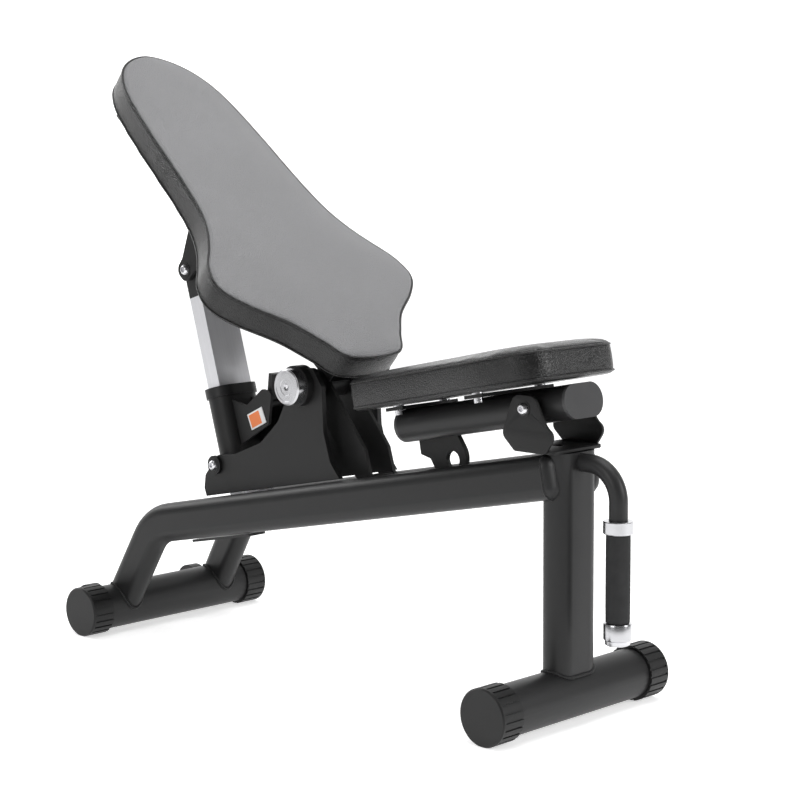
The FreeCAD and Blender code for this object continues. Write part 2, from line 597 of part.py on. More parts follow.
# ---------------------------------------------------------------- telescopic strut
bar_top = strut_length + size("fitting_top - fitting_length - weld_gap")
bar_middle = Vector(0, 0, bar_top - size("bar_length / 2"))
bar_outer = box("bar_outer", "bar_depth", "bar_width", "bar_length", at_strut, bar_middle)
bar_inner = box("bar_inner", "bar_depth - 2 * bar_wall", "bar_width - 2 * bar_wall", "bar_length + 2",
                at_strut, bar_middle)
keep("strut_bar", cut("strut_bar", bar_outer, bar_inner))
fitting_middle = Vector(0, 0, strut_length + size("fitting_top - fitting_length / 2"))
fitting = box("fitting_block", "bar_depth", "bar_width", "fitting_length", at_strut, fitting_middle)
pin_room = rod("pin_room", "anchor_bolt_diameter + 2 * running_clearance", "200", pin_frame, Vector())
keep("strut_top_fitting", cut("strut_top_fitting", fitting, pin_room))

sleeve_length = "sleeve_top + sleeve_bottom"
at_sleeve = at_strut * Placement(Vector(0, 0, size("( sleeve_top - sleeve_bottom ) / 2")),
                                 Rotation(Vector(0, 0, 1), 90))
sleeve = oval_tube("sleeve_tube", "sleeve_width", "sleeve_depth", "sleeve_wall", sleeve_length, at_sleeve)
lugs = []
for side in (1, -1):
    start = size("sleeve_width / 2 - 1")
    end = size("side_plate_inner - 1.5")
    lugs.append(rod("sleeve_lug", "anchor_boss_diameter", str(end - start), at_anchor,
                    Vector(0, side * (start + end) / 2, 0)))
lugs_and_tube = fuse("sleeve_with_lugs", sleeve, *lugs)
keep("strut_sleeve", lugs_and_tube)

collar_frame = at_strut * Placement(Vector(0, 0, size("sleeve_top + weld_gap + collar_height / 2")),
                                    Rotation(Vector(0, 0, 1), 90))
collar = solid_oval("collar_block", "sleeve_width + 2 * collar_wall", "sleeve_depth + 2 * collar_wall",
                    "collar_height", collar_frame)
bar_way = box("bar_way", "bar_depth + 2 * part_gap", "bar_width + 2 * part_gap", "400", at_strut,
              Vector(0, 0, size("sleeve_top")))
keep("sleeve_collar", cut("sleeve_collar", collar, bar_way))

# lock plates on the sleeve's front, with the release lever between them and a blank label
plates = []
for side in (1, -1):
    frame = at_strut * Placement(Vector(size("sleeve_depth / 2 + weld_gap"), side * size("lock_plate_spacing / 2"),
                                        size("sleeve_top - lock_plate_height - 8")), Rotation())
    corners = [("0.01", "0.01"), ("lock_plate_reach - 22", "18"), ("lock_plate_reach", "lock_plate_height - 10"),
               ("lock_plate_reach - 20", "lock_plate_height"), ("30", "lock_plate_height - 18"),
               ("0.01", "lock_plate_height")]
    plates.append(plate("lock_plate", corners, "lock_plate_thickness", frame, [([2, 3], 7.0), ([4], 16.0)]))
keep("lock_plates", group("lock_plates", *plates))
hinge_place = Vector(size("sleeve_depth / 2 + lock_plate_reach - 22"), 0, size("sleeve_top - 30"))
lever_hinge = at_strut.multVec(hinge_place)
at_lever = at_strut * Placement(hinge_place, Rotation(Y_AXIS, 24))
lever_blade = box("lever_blade", "lever_thickness", "lever_width", "lever_length", at_lever,
                  Vector(0, 0, size("lever_length / 2")))
lever_barrel = rod("lever_barrel", "14", "lever_width", at_lever, Vector())
lever_bore = rod("lever_bore", "6 + 2 * running_clearance", "60", at_lever, Vector())
keep("release_lever", cut("release_lever", fuse("lever_whole", lever_blade, lever_barrel), lever_bore))
keep("lever_pin", rod("lever_pin", "6", "lock_plate_spacing - lock_plate_thickness - 1", at_lever, Vector()))
label_middle = Vector(size("sleeve_depth / 2 + lock_plate_reach / 2 + 2"),
                      -size("( lock_plate_spacing + lock_plate_thickness + label_thickness ) / 2 + weld_gap"),
                      size("sleeve_top - 8 - lock_plate_height / 2 - 5"))
at_label = at_strut * Placement(label_middle, Rotation(Y_AXIS, -8))
keep("blank_label", box("blank_label", "label_length - 8", "label_thickness", "label_height - 6", at_label, Vector()))

# ---------------------------------------------------------------- seat
tube_middle = size("( seat_tube_front - seat_tube_rear ) / 2")
at_seat_tube = at_seat * Placement(Vector(tube_middle, 0, 0), Rotation(Vector(0, 1, 0), Vector(0, 0, 1),
                                                                       Vector(1, 0, 0), "ZXY"))
seat_tube = oval_tube("seat_tube_blank", "seat_tube_width", "seat_tube_depth", "seat_tube_wall",
                      "seat_tube_front + seat_tube_rear", at_seat_tube)
sleeve_hole = rod("seat_sleeve_hole", "pivot_sleeve_diameter + 2 * weld_gap", "200", at_seat, Vector())
keep("seat_tube", cut("seat_tube", seat_tube, sleeve_hole))
for name, place in (("front", "seat_tube_front + weld_gap + tube_cap_thickness / 2"),
                    ("rear", "-( seat_tube_rear + weld_gap + tube_cap_thickness / 2 )")):
    frame = at_seat * Placement(Vector(size(place), 0, 0), at_seat.Rotation.inverted() * at_seat_tube.Rotation)
    keep(f"seat_tube_{name}_cap", solid_oval(f"seat_tube_{name}_cap", "seat_tube_width", "seat_tube_depth",
                                             "tube_cap_thickness", frame))
bearing = rod("seat_sleeve_outer", "pivot_sleeve_diameter", "seat_tube_width + 8", at_seat, Vector())
bearing_bore = rod("seat_sleeve_bore", "seat_bolt_diameter + 2 * running_clearance", "200", at_seat, Vector())
keep("seat_pivot_sleeve", cut("seat_pivot_sleeve", bearing, bearing_bore))
cross_z = size("seat_tube_depth / 2 + weld_gap") + 2.5
underside = size("seat_pad_gap")
bars, spacers, screws = [], [], []
for along, reach in ((-243, 116), (-70, 150)):
    bars.append(box("seat_cross_bar", "34", str(reach), "5", at_seat, Vector(along, 0, cross_z)))
    for side in (1, -1):
        place = Vector(along, side * (reach / 2 - 10), 0)
        spacer_height = underside - cross_z - 2.5 - size("2 * weld_gap")
        spacers.append(rod("seat_spacer", "spacer_diameter", str(spacer_height), at_seat,
                           place + Vector(0, 0, underside - size("weld_gap") - spacer_height / 2), "z"))
        screws.append(rod("seat_screw", "13", "7", at_seat, place + Vector(0, 0, cross_z - 2.52 - 3.5), "z"))
keep("seat_cross_bars", group("seat_cross_bars", *bars))
keep("seat_spacers", group("seat_spacers", *spacers))
keep("seat_bolts", group("seat_bolts", *screws))

front_half = size("seat_front_half")
rear_half = size("seat_rear_half")
seat_length = size("seat_pad_length")
seat_profile = [(0, front_half * 0.5), (14, front_half * 0.8), (48, front_half - 2), (110, front_half),
                (220, (front_half + rear_half) / 2), (seat_length - 50, rear_half + 2), (seat_length - 14, rear_half - 12)]
at_seat_pad = at_seat * Placement(Vector(size("seat_pad_front"), 0, underside), Rotation())
board_top = size("seat_board_thickness")
pad_solid("seat_board", 6, 0, board_top, at_seat_pad, seat_profile, seat_length)
pad_solid("seat_pad", 0, board_top + size("weld_gap"), board_top + size("seat_pad_thickness"), at_seat_pad,
          seat_profile, seat_length)

# cam plate under the seat tube: the roller runs in its open slot
tube_low = "-( seat_tube_depth / 2 + weld_gap )"
cam_corners = [("-178", tube_low), ("-256", tube_low), ("-256", "-44"), ("-238", "-52"), ("-228", "-76"),
               ("-246", "-106"), ("-226", "-112"), ("-190", "-100"), ("-164", "-56")]
cam = plate("cam_plate_blank", cam_corners, "cam_plate_thickness", at_seat, [([8], 30.0), ([4], 9.0), ([6], 10.0)])
window = rod("cam_window", "26", "cam_plate_thickness * 3", at_seat, Vector(-194, 0, -58))
keep("seat_cam_plate", cut("seat_cam_plate", cam, window))

# bracket on the post: base, two ears, pivot bolt and spacer rings
base_middle = Vector(front_x - 8, 0, size("post_top + weld_gap + bracket_thickness / 2"))
base = box("bracket_base", "100", "2 * bracket_inner", "bracket_thickness", WORLD, base_middle)
drain = rod("bracket_hole", "14", "bracket_thickness * 4", WORLD, base_middle + Vector(-12, 0, 0), "z")
ears = []
for side in (1, -1):
    frame = Placement(seat_pivot + Vector(0, side * size("bracket_inner + bracket_thickness / 2"), 0), Rotation())
    low = "post_top + weld_gap - seat_pivot_height"
    corners = [("-22", low), ("-30", "-34"), ("-13", "14"), ("13", "14"), ("62", "-34"), ("50", low)]
    ears.append(plate("bracket_ear", corners, "bracket_thickness", frame, [([1, 4], 9.0), ([2, 3], 11.0)]))
bracket = fuse("bracket_welded", cut("bracket_base_drilled", base, drain), *ears)
ear_hole = rod("bracket_bolt_hole", "seat_bolt_diameter + 2 * weld_gap", "200", at_seat, Vector())
keep("seat_bracket", cut("seat_bracket", bracket, ear_hole))
ear_face = "bracket_inner + bracket_thickness"
seat_shank = rod("seat_shank", "seat_bolt_diameter", f"2 * ( {ear_face} + 1 )", at_seat, Vector())
heads = [rod("seat_head", "bolt_head_diameter", "bolt_head_height", at_seat,
             Vector(0, side * size(f"{ear_face} + weld_gap + bolt_head_height / 2"), 0)) for side in (1, -1)]
keep("seat_pivot_bolt", fuse("seat_pivot_bolt", seat_shank, *heads))
rings = []
for side in (1, -1):
    gap = "bracket_inner - seat_tube_width / 2 - 4"
    middle = Vector(0, side * size(f"bracket_inner - ( {gap} ) / 2"), 0)
    ring = rod("spacer_ring", "pivot_sleeve_diameter + 4", f"{gap} - 2 * part_gap", at_seat, middle)
    ring_bore = rod("spacer_bore", "seat_bolt_diameter + 2 * weld_gap", "60", at_seat, middle)
    rings.append(cut("spacer_ring_bored", ring, ring_bore))
keep("seat_pivot_spacers", group("seat_pivot_spacers", *rings))

# ---------------------------------------------------------------- carry handle
handle_x = front_x + size("post_depth / 2 + handle_reach")
bend = size("handle_bend_radius")
high = size("handle_height")
start = Vector(front_x + size("post_depth / 2 + weld_gap"), 0, high)
corner_start = Vector(handle_x - bend, 0, high)
corner_end = Vector(handle_x, 0, high - bend)
lean = bend * (1 - math.cos(math.radians(45)))
path = Part.Wire([
    Part.LineSegment(start, corner_start).toShape(),
    Part.Arc(corner_start, Vector(handle_x - lean, 0, high - lean), corner_end).toShape(),
    Part.LineSegment(corner_end, Vector(handle_x, 0, size("handle_cap_bottom") + 6)).toShape()])
tubes = [path.makePipeShell([Part.Wire(Part.makeCircle(radius, start, Vector(1, 0, 0)))], True, False)
         for radius in (size("handle_diameter / 2"), size("handle_diameter / 2 - handle_wall"))]
handle = doc.addObject("Part::Feature", "handle_tube")
handle.Shape = tubes[0].cut(tubes[1])
keep("handle_tube", handle)


def handle_ring(name, diameter, height, bottom):
    middle = Vector(handle_x, 0, size(f"{bottom} + ( {height} ) / 2"))
    outer = rod(name + "_outer", diameter, height, WORLD, middle, "z")
    bore = rod(name + "_bore", "handle_diameter + 2 * weld_gap", f"{height} + 2", WORLD, middle, "z")
    return cut(name, outer, bore)


grip_top = "grip_bottom + grip_length"
keep("handle_grip", handle_ring("handle_grip", "grip_diameter", "grip_length - 2 * weld_gap", "grip_bottom + weld_gap"))
keep("handle_collar", handle_ring("handle_collar", "handle_collar_diameter", "handle_collar_height", grip_top))
cap_shell = handle_ring("handle_cap_shell", "handle_collar_diameter", "grip_bottom - handle_cap_bottom",
                        "handle_cap_bottom")
cap_floor = rod("handle_cap_floor", "handle_collar_diameter", "5.9", WORLD,
                Vector(handle_x, 0, size("handle_cap_bottom") + 2.95), "z")
keep("handle_end_cap", fuse("handle_end_cap", cap_shell, cap_floor))

# ---------------------------------------------------------------- transport wheels
wheel_x = rear_x - size("wheel_back")
wheel_z = size("wheel_diameter / 2 + wheel_lift")
forks, axles = [], []
for hand, side in (("left", 1), ("right", -1)):
    at_wheel = Placement(Vector(wheel_x, side * size("wheel_spread"), wheel_z), Rotation())
    rim = rod(f"{hand}_wheel_rim", "wheel_diameter", "wheel_width", at_wheel, Vector())
    bore = rod(f"{hand}_wheel_bore", "wheel_axle_diameter + 2 * running_clearance", "60", at_wheel, Vector())
    keep(f"{hand}_wheel", cut(f"{hand}_wheel", rim, bore))
    for edge in (1, -1):
        middle = Vector(26, edge * size("wheel_width / 2 + 1 + 2"), 2)
        cheek = box("wheel_cheek", "70", "4", "22", at_wheel, middle)
        hole = rod("cheek_hole", "wheel_axle_diameter + 2 * weld_gap", "60", at_wheel, Vector())
        tube_round = rod("cheek_round", "foot_tube_diameter + 2 * weld_gap", "500",
                         Placement(Vector(rear_x, 0, foot_z), Rotation()), Vector())
        forks.append(cut("wheel_cheek_cut", cheek, hole, tube_round))
    axles.append(rod("wheel_axle", "wheel_axle_diameter", "wheel_width + 16", at_wheel, Vector()))
keep("wheel_brackets", group("wheel_brackets", *forks))
keep("wheel_axles", group("wheel_axles", *axles))

# ---------------------------------------------------------------- checks and files
doc.recompute()
for item in doc.Objects:
    if "Invalid" in item.State or "Error" in item.State:
        raise RuntimeError(f"{item.Name} did not compute: {item.State}")
for node, item in nodes.items():
    if item.Shape.isNull() or not item.Shape.isValid() or not item.Shape.Solids:
        raise RuntimeError(f"{node} has no valid shape")
os.makedirs("parts", exist_ok=True)
for node, item in nodes.items():
    item.Shape.exportStep(f"parts/{node}.step")
print(len(nodes), "nodes written")
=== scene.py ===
import math

import bmesh
import bpy
from mathutils import Matrix, Vector
from mathutils.bvhtree import BVHTree


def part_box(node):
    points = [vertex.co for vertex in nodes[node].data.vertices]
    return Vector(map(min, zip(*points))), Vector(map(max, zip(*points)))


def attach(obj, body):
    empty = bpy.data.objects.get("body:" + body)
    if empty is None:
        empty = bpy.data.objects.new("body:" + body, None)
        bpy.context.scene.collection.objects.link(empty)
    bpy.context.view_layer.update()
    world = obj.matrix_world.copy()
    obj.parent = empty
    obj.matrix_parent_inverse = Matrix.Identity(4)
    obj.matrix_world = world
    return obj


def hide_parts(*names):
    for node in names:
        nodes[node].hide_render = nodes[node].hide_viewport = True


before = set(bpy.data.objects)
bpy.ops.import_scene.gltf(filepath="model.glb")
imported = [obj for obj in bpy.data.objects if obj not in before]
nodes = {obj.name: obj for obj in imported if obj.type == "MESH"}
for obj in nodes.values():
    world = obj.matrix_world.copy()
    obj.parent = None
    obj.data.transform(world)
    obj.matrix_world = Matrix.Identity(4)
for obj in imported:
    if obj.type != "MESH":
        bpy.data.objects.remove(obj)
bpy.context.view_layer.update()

scene = bpy.context.scene

# ------------------------------------------------------------------ camera, floor and lights
# A long lens looks at the seat's front corner from just above seat height. The bench stands on a
# plain pale floor under one big soft box, with a weaker one on each side to draw the tubes' edges.

CAMERA_FROM_REAR_FOOT = Vector((2.5718, -2.0210, 0.7795))
LIGHTS_AIM = Vector((0, 0, 0.45))
FLOOR_HALF = 30
WALL_DISTANCE, WALL_HALF, WALL_HEIGHT = 9, 16, 9
WHITE = (1, 1, 1, 1)


def middle(node):
    low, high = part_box(node)
    return (Vector(low) + Vector(high)) / 2


rear_foot = Vector((middle("rear_foot_tube").x, 0, 0))
turn = math.radians(44.93)
pitch = math.radians(7.23)
roll = math.radians(-0.37)
back = Vector((math.sin(turn) * math.cos(pitch), -math.cos(turn) * math.cos(pitch),
               math.sin(pitch)))
level = Vector((math.cos(turn), math.sin(turn), 0))
above = back.cross(level)
across = math.cos(roll) * level + math.sin(roll) * above
upward = -math.sin(roll) * level + math.cos(roll) * above
camera = bpy.data.objects.new("camera", bpy.data.cameras.new("camera"))
scene.collection.objects.link(camera)
turned = Matrix((across, upward, back)).transposed().to_4x4()
camera.matrix_world = Matrix.Translation(rear_foot + CAMERA_FROM_REAR_FOOT) @ turned
camera.data.lens = 88.12
camera.data.sensor_width = 36
scene.camera = camera

floor_mesh = bpy.data.meshes.new("floor")
floor_mesh.from_pydata([(x * FLOOR_HALF, y * FLOOR_HALF, 0)
                        for x, y in ((-1, -1), (1, -1), (1, 1), (-1, 1))], [], [(0, 1, 2, 3)])
floor = bpy.data.objects.new("floor", floor_mesh)
scene.collection.objects.link(floor)


def soft_box(name, place, size, power):
    lamp = bpy.data.objects.new(name, bpy.data.lights.new(name, "AREA"))
    lamp.data.shape = "RECTANGLE"
    lamp.data.size, lamp.data.size_y = size
    lamp.data.energy = power
    lamp.location = place
    lamp.rotation_euler = (Vector(place) - LIGHTS_AIM).to_track_quat("Z", "Y").to_euler()
    scene.collection.objects.link(lamp)


soft_box("overhead", (0.4, 0.3, 3.2), (2.6, 2.6), 78)
soft_box("front_left", (0.2, -3.2, 1.7), (1.6, 1.6), 36)
soft_box("front_right", (3.4, 1.2, 1.7), (1.0, 1.8), 62)
soft_box("back_left", (-2.8, -0.6, 2.2), (1.2, 1.6), 30)


def stage_finish(name, tone, glow):
    made = bpy.data.materials.new(name)
    made.use_nodes = True
    for socket, value in (("Base Color", tone), ("Roughness", 0.9), ("Emission Color", WHITE),
                          ("Emission Strength", glow)):
        made.node_tree.nodes["Principled BSDF"].inputs[socket].default_value = value
    return made


# A white sweep far behind the bench, so that floor and wall run together.
floor_mesh.materials.append(stage_finish("pale_floor", (0.85, 0.85, 0.85, 1), 0.55))
sweep_mesh = bpy.data.meshes.new("sweep")
away = -Vector((back.x, back.y, 0)).normalized() * WALL_DISTANCE
aside = Vector((-away.y, away.x, 0)).normalized() * WALL_HALF
wall_top = Vector((0, 0, WALL_HEIGHT))
sweep_mesh.from_pydata([away - aside, away + aside, away + aside + wall_top,
                        away - aside + wall_top], [], [(0, 1, 2, 3)])
sweep = bpy.data.objects.new("sweep", sweep_mesh)
scene.collection.objects.link(sweep)
sweep_mesh.materials.append(stage_finish("white_wall", (0.8, 0.8, 0.8, 1), 1.0))
world = bpy.data.worlds.new("studio")
scene.world = world
world.use_nodes = True
world.node_tree.nodes["Background"].inputs["Color"].default_value = WHITE
world.node_tree.nodes["Background"].inputs["Strength"].default_value = 0.14
scene.view_settings.view_transform = "Standard"

# ------------------------------------------------------------------ powder-coated tubes and plates
# The frame's flat-oval tubes and laser-cut plates are welded mild steel under one coat of matt black
# powder. The coat is slightly pebbled, a little glossier where hands and boots rub it.


class Value:
    """A socket that adds its own maths nodes."""

    def __init__(self, maker, socket):
        self.maker = maker
        self.socket = socket

    def maths(self, operation, first, second):
        return self.maker.node("ShaderNodeMath", {"operation": operation}, {0: first, 1: second})

    def __add__(self, other):
        return self.maths("ADD", self, other)

    __radd__ = __add__

    def __mul__(self, other):
        return self.maths("MULTIPLY", self, other)

    __rmul__ = __mul__

    def __sub__(self, other):
        return self.maths("SUBTRACT", self, other)

    def __rsub__(self, other):
        return self.maths("SUBTRACT", other, self)

    def __gt__(self, other):
        return self.maths("GREATER_THAN", self, other)

    def __lt__(self, other):
        return self.maths("LESS_THAN", self, other)


class Finish:
    """One material and the nodes that its surface is made of."""

    def __init__(self, name, **constants):
        self.material = bpy.data.materials.new(name)
        self.material.use_nodes = True
        self.tree = self.material.node_tree
        self.shader = self.tree.nodes["Principled BSDF"]
        for socket, value in constants.items():
            self.shader.inputs[socket.replace("_", " ")].default_value = value

    def node(self, kind, settings=None, inputs=None, output=0):
        made = self.tree.nodes.new(kind)
        for name, value in (settings or {}).items():
            setattr(made, name, value)
        for name, value in (inputs or {}).items():
            if isinstance(value, Value):
                self.tree.links.new(value.socket, made.inputs[name])
            else:
                made.inputs[name].default_value = value
        return Value(self, made.outputs[output])

    def place(self, centre=(0, 0, 0), scale=(1, 1, 1), turned=(0, 0, 0)):
        point = self.node("ShaderNodeTexCoord", output="Object")
        moved = self.node("ShaderNodeMapping", {"vector_type": "POINT"},
                          {"Vector": point, "Location": tuple(-c for c in centre)})
        return self.node("ShaderNodeMapping", {"vector_type": "TEXTURE"},
                         {"Vector": moved, "Rotation": turned, "Scale": tuple(1 / s for s in scale)})

    def noise(self, scale, detail=3.0, where=None):
        inputs = {"Scale": scale, "Detail": detail, "Vector": where or self.place()}
        return self.node("ShaderNodeTexNoise", {}, inputs, "Fac")

    def mix(self, amount, first, second):
        made = self.tree.nodes.new("ShaderNodeMix")
        made.data_type = "RGBA"
        for index, value in ((0, amount), (6, first), (7, second)):
            if isinstance(value, Value):
                self.tree.links.new(value.socket, made.inputs[index])
            else:
                made.inputs[index].default_value = value
        return Value(self, made.outputs[2])

    def feed(self, socket, value):
        self.tree.links.new(value.socket, self.shader.inputs[socket])

    def bump(self, height, strength, distance):
        inputs = {"Height": height, "Strength": strength, "Distance": distance}
        self.feed("Normal", self.node("ShaderNodeBump", {}, inputs))


def grey(level):
    return (level, level, level * 1.03, 1)


def powder_coat(name, level, gloss):
    finish = Finish(name, Specular_IOR_Level=0.32)
    cloud = finish.noise(9, 4)
    fine = finish.noise(900, 2)
    mottle = cloud * 0.6 + fine * 0.4
    finish.feed("Base Color", finish.mix(mottle, grey(level * 0.75), grey(level * 1.3)))
    finish.feed("Roughness", gloss + cloud * 0.08 + fine * 0.1)
    finish.bump(fine * 0.6 + finish.noise(320, 2) * 0.4, 0.35, 0.0004)
    return finish.material


def dress(material, *names):
    for name in names:
        data = nodes[name].data
        data.materials.clear()
        data.materials.append(material)


tube_coat = powder_coat("tube_coat", 0.013, 0.34)
plate_coat = powder_coat("plate_coat", 0.007, 0.40)
dress(tube_coat, "rear_foot_tube", "front_foot_tube", "front_post", "left_rail", "right_rail",
      "seat_tube", "handle_tube", "backrest_spine", "base_tray")
dress(plate_coat, "left_side_plate", "right_side_plate", "left_pivot_housing",
      "right_pivot_housing", "strut_anchor_bosses", "seat_bracket", "backrest_cross_bars",
      "strut_clevis", "seat_lever_arms", "seat_cross_bars", "seat_cam_plate", "wheel_brackets",
      "strut_sleeve", "lock_plates", "backrest_pivot_tube")

# ------------------------------------------------------------------ weld beads
# A bead of overlapping ripples runs round each tube where it meets the one that it stands on. It
# is laid by hand with a wire feed and coated over with the frame.

BEAD_SPACING = 0.0026
POST_BASE = (0.0826, 0.0466)
LEG_BASE = (0.0626, 0.0366)


def link(name, mesh, material):
    made = bpy.data.objects.new(name, mesh)
    scene.collection.objects.link(made)
    mesh.materials.clear()
    mesh.materials.append(material)
    return made


def finished_mesh(made):
    """The object's mesh with its modifiers or curve settings applied."""
    graph = bpy.context.evaluated_depsgraph_get()
    return bpy.data.meshes.new_from_object(made.evaluated_get(graph))


def path_curve(name, points):
    """A closed curve through points."""
    data = bpy.data.curves.new(name, "CURVE")
    data.dimensions = "3D"
    spline = data.splines.new("POLY")
    spline.points.add(len(points) - 1)
    for point, place in zip(spline.points, points):
        point.co = (*place, 1)
    spline.use_cyclic_u = True
    made = bpy.data.objects.new(name, data)
    scene.collection.objects.link(made)
    return made


def repeat_tree(name, material):
    """Puts a small rounded grain on a path at an even spacing, turned along it."""
    tree = bpy.data.node_groups.new(name, "GeometryNodeTree")
    tree.interface.new_socket("Path", in_out="INPUT", socket_type="NodeSocketGeometry")
    for label, value in (("Spacing", 0.003), ("Width", 0.001), ("Length", 0.002)):
        socket = tree.interface.new_socket(label, in_out="INPUT", socket_type="NodeSocketFloat")
        socket.default_value = value
    tree.interface.new_socket("Mesh", in_out="OUTPUT", socket_type="NodeSocketGeometry")
    add = tree.nodes.new
    source, target = add("NodeGroupInput"), add("NodeGroupOutput")
    even = add("GeometryNodeResampleCurve")
    even.mode = "LENGTH"
    tangent = add("GeometryNodeInputTangent")
    facing = add("FunctionNodeAlignRotationToVector")
    facing.axis = "Z"
    grain = add("GeometryNodeMeshUVSphere")
    grain.inputs["Segments"].default_value = 8
    grain.inputs["Rings"].default_value = 6
    grain.inputs["Radius"].default_value = 1.0
    spread = add("GeometryNodeInstanceOnPoints")
    shape = add("ShaderNodeCombineXYZ")
    real = add("GeometryNodeRealizeInstances")
    smooth = add("GeometryNodeSetShadeSmooth")
    paint = add("GeometryNodeSetMaterial")
    paint.inputs["Material"].default_value = material
    wire = tree.links.new
    wire(source.outputs["Path"], even.inputs["Curve"])
    wire(source.outputs["Spacing"], even.inputs["Length"])
    wire(tangent.outputs[0], facing.inputs["Vector"])
    wire(even.outputs[0], spread.inputs["Points"])
    wire(grain.outputs["Mesh"], spread.inputs["Instance"])
    wire(facing.outputs[0], spread.inputs["Rotation"])
    wire(source.outputs["Width"], shape.inputs[0])
    wire(source.outputs["Width"], shape.inputs[1])
    wire(source.outputs["Length"], shape.inputs[2])
    wire(shape.outputs[0], spread.inputs["Scale"])
    wire(spread.outputs[0], real.inputs[0])
    wire(real.outputs[0], smooth.inputs[0])
    wire(smooth.outputs[0], paint.inputs["Geometry"])
    wire(paint.outputs[0], target.inputs[0])
    return tree


def repeat_along(name, points, tree, material, spacing, width, length):
    """A finished mesh of the tree's grains along a path."""
    curve = path_curve(name + "_path", points)
    modifier = curve.modifiers.new("repeat", "NODES")
    modifier.node_group = tree
    inputs = {s.name: s.identifier for s in tree.interface.items_tree if s.in_out == "INPUT"}
    for label, value in (("Spacing", spacing), ("Width", width), ("Length", length)):
        modifier[inputs[label]] = value
    mesh = finished_mesh(curve)
    bpy.data.objects.remove(curve)
    mesh.name = name
    return link(name, mesh, material)


bead_tree = repeat_tree("weld_bead", tube_coat)


def oval_ring(long_side, short_side, count=72):
    """Points of a flat oval in its own plane, long side first."""
    radius = short_side / 2
    reach = long_side / 2 - radius
    ring = []
    for step in range(count):
        angle = math.tau * step / count
        ring.append((math.copysign(reach, math.cos(angle)) + radius * math.cos(angle),
                     radius * math.sin(angle)))
    return ring


def weld_on_foot(name, foot, base, along, wide, thick, outline):
    """The line where an oval tube enters a round foot tube, laid with bead."""
    radius = (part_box(foot)[1][2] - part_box(foot)[0][2]) / 2 + 0.0006
    centre = middle(foot)
    points = []
    for a, b in oval_ring(*outline):
        start = base + wide * a + thick * b
        flat = Vector((start.x - centre.x, 0, start.z - centre.z))
        way = Vector((along.x, 0, along.z))
        half = flat.dot(way) / way.length_squared
        inside = half * half - (flat.length_squared - radius * radius) / way.length_squared
        points.append(start + along * (-half + math.sqrt(max(inside, 0))))
    piece = repeat_along(name, points, bead_tree, tube_coat, BEAD_SPACING, 0.0030, 0.0021)
    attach(piece, "frame")


front_centre = middle("front_foot_tube")
weld_on_foot("post_weld", "front_foot_tube", front_centre, Vector((0, 0, 1)),
             Vector((0, 1, 0)), Vector((1, 0, 0)), POST_BASE)
rear_centre = middle("rear_foot_tube")
HANDS = (("left", 1), ("right", -1))


def rail_bend(side):
    """The point where a rail turns from its leg to its long run."""
    return rear_foot + Vector((0.091, side * 0.0937, 0.185))


for hand, side in HANDS:
    base = Vector((rear_centre.x, side * 0.099, rear_centre.z))
    along = (rail_bend(side) - base).normalized()
    thick = Vector((0, 1, 0)).cross(along).cross(along).normalized()
    wide = thick.cross(along).normalized()
    weld_on_foot(f"{hand}_leg_weld", "rear_foot_tube", base, along, wide, thick, LEG_BASE)

# ------------------------------------------------------------------ moulded plastic
# Foot caps, tube caps, the sleeve's collar, the release lever, the roller and the wheels are black
# injection-moulded plastic with a fine spark-eroded grain.


def moulded(name, level, gloss):
    finish = Finish(name, Specular_IOR_Level=0.35)
    fine = finish.noise(1400, 2)
    cloud = finish.noise(14, 3)
    finish.feed("Base Color", finish.mix(cloud, grey(level * 0.8), grey(level * 1.25)))
    finish.feed("Roughness", gloss + fine * 0.12 + cloud * 0.06)
    finish.bump(fine, 0.2, 0.0002)
    return finish.material


cap_plastic = moulded("cap_plastic", 0.006, 0.38)
dress(cap_plastic, "rear_foot_cap_left", "rear_foot_cap_right", "front_foot_cap_left",
      "front_foot_cap_right", "sleeve_collar", "strut_top_fitting", "left_wheel", "right_wheel",
      "seat_pivot_spacers", "seat_roller", "release_lever")
dress(moulded("end_plug_plastic", 0.045, 0.34), "seat_tube_front_cap", "seat_tube_rear_cap")

# ------------------------------------------------------------------ bright metal
# The strut's bar is drawn steel with a satin finish. The pivot caps and the handle's collar and end
# cap are turned aluminium with fine tool rings, the seat's spacers aluminium without rings, and the
# fasteners bright steel.

RINGS_PER_METRE = 5200
bar_turn = math.atan2(middle("strut_clevis_bolt").x - middle("strut_anchor_bolts").x,
                      middle("strut_clevis_bolt").z - middle("strut_anchor_bolts").z)
satin = Finish("satin_bar", Metallic=1.0, Anisotropic=0.3)
drawn = satin.place(middle("strut_bar"), (1400, 1400, 6), (0, bar_turn, 0))
streak = satin.noise(1.0, 2, drawn)
satin.feed("Base Color", satin.mix(streak, grey(0.62), grey(0.8)))
satin.feed("Roughness", 0.38 + streak * 0.16)
satin.bump(streak, 0.15, 0.0002)
dress(satin.material, "strut_bar")


def turned_metal(name, centre, axis, level=0.62):
    """Aluminium with tool rings about an axis through a centre."""
    finish = Finish(name, Metallic=1.0)
    flat = tuple(0.001 if letter == axis else 1.0 for letter in "xyz")
    distance = finish.node("ShaderNodeVectorMath", {"operation": "LENGTH"},
                           {0: finish.place(centre, flat)}, "Value")
    rings = finish.node("ShaderNodeMath", {"operation": "SINE"}, {0: distance * RINGS_PER_METRE})
    fine = finish.noise(500, 2)
    finish.feed("Base Color", finish.mix(0.5 + rings * 0.35 + fine * 0.15,
                                         grey(level * 0.7), grey(level)))
    finish.feed("Roughness", 0.26 + rings * 0.06 + fine * 0.04)
    finish.bump(rings, 0.3, 0.0001)
    return finish.material


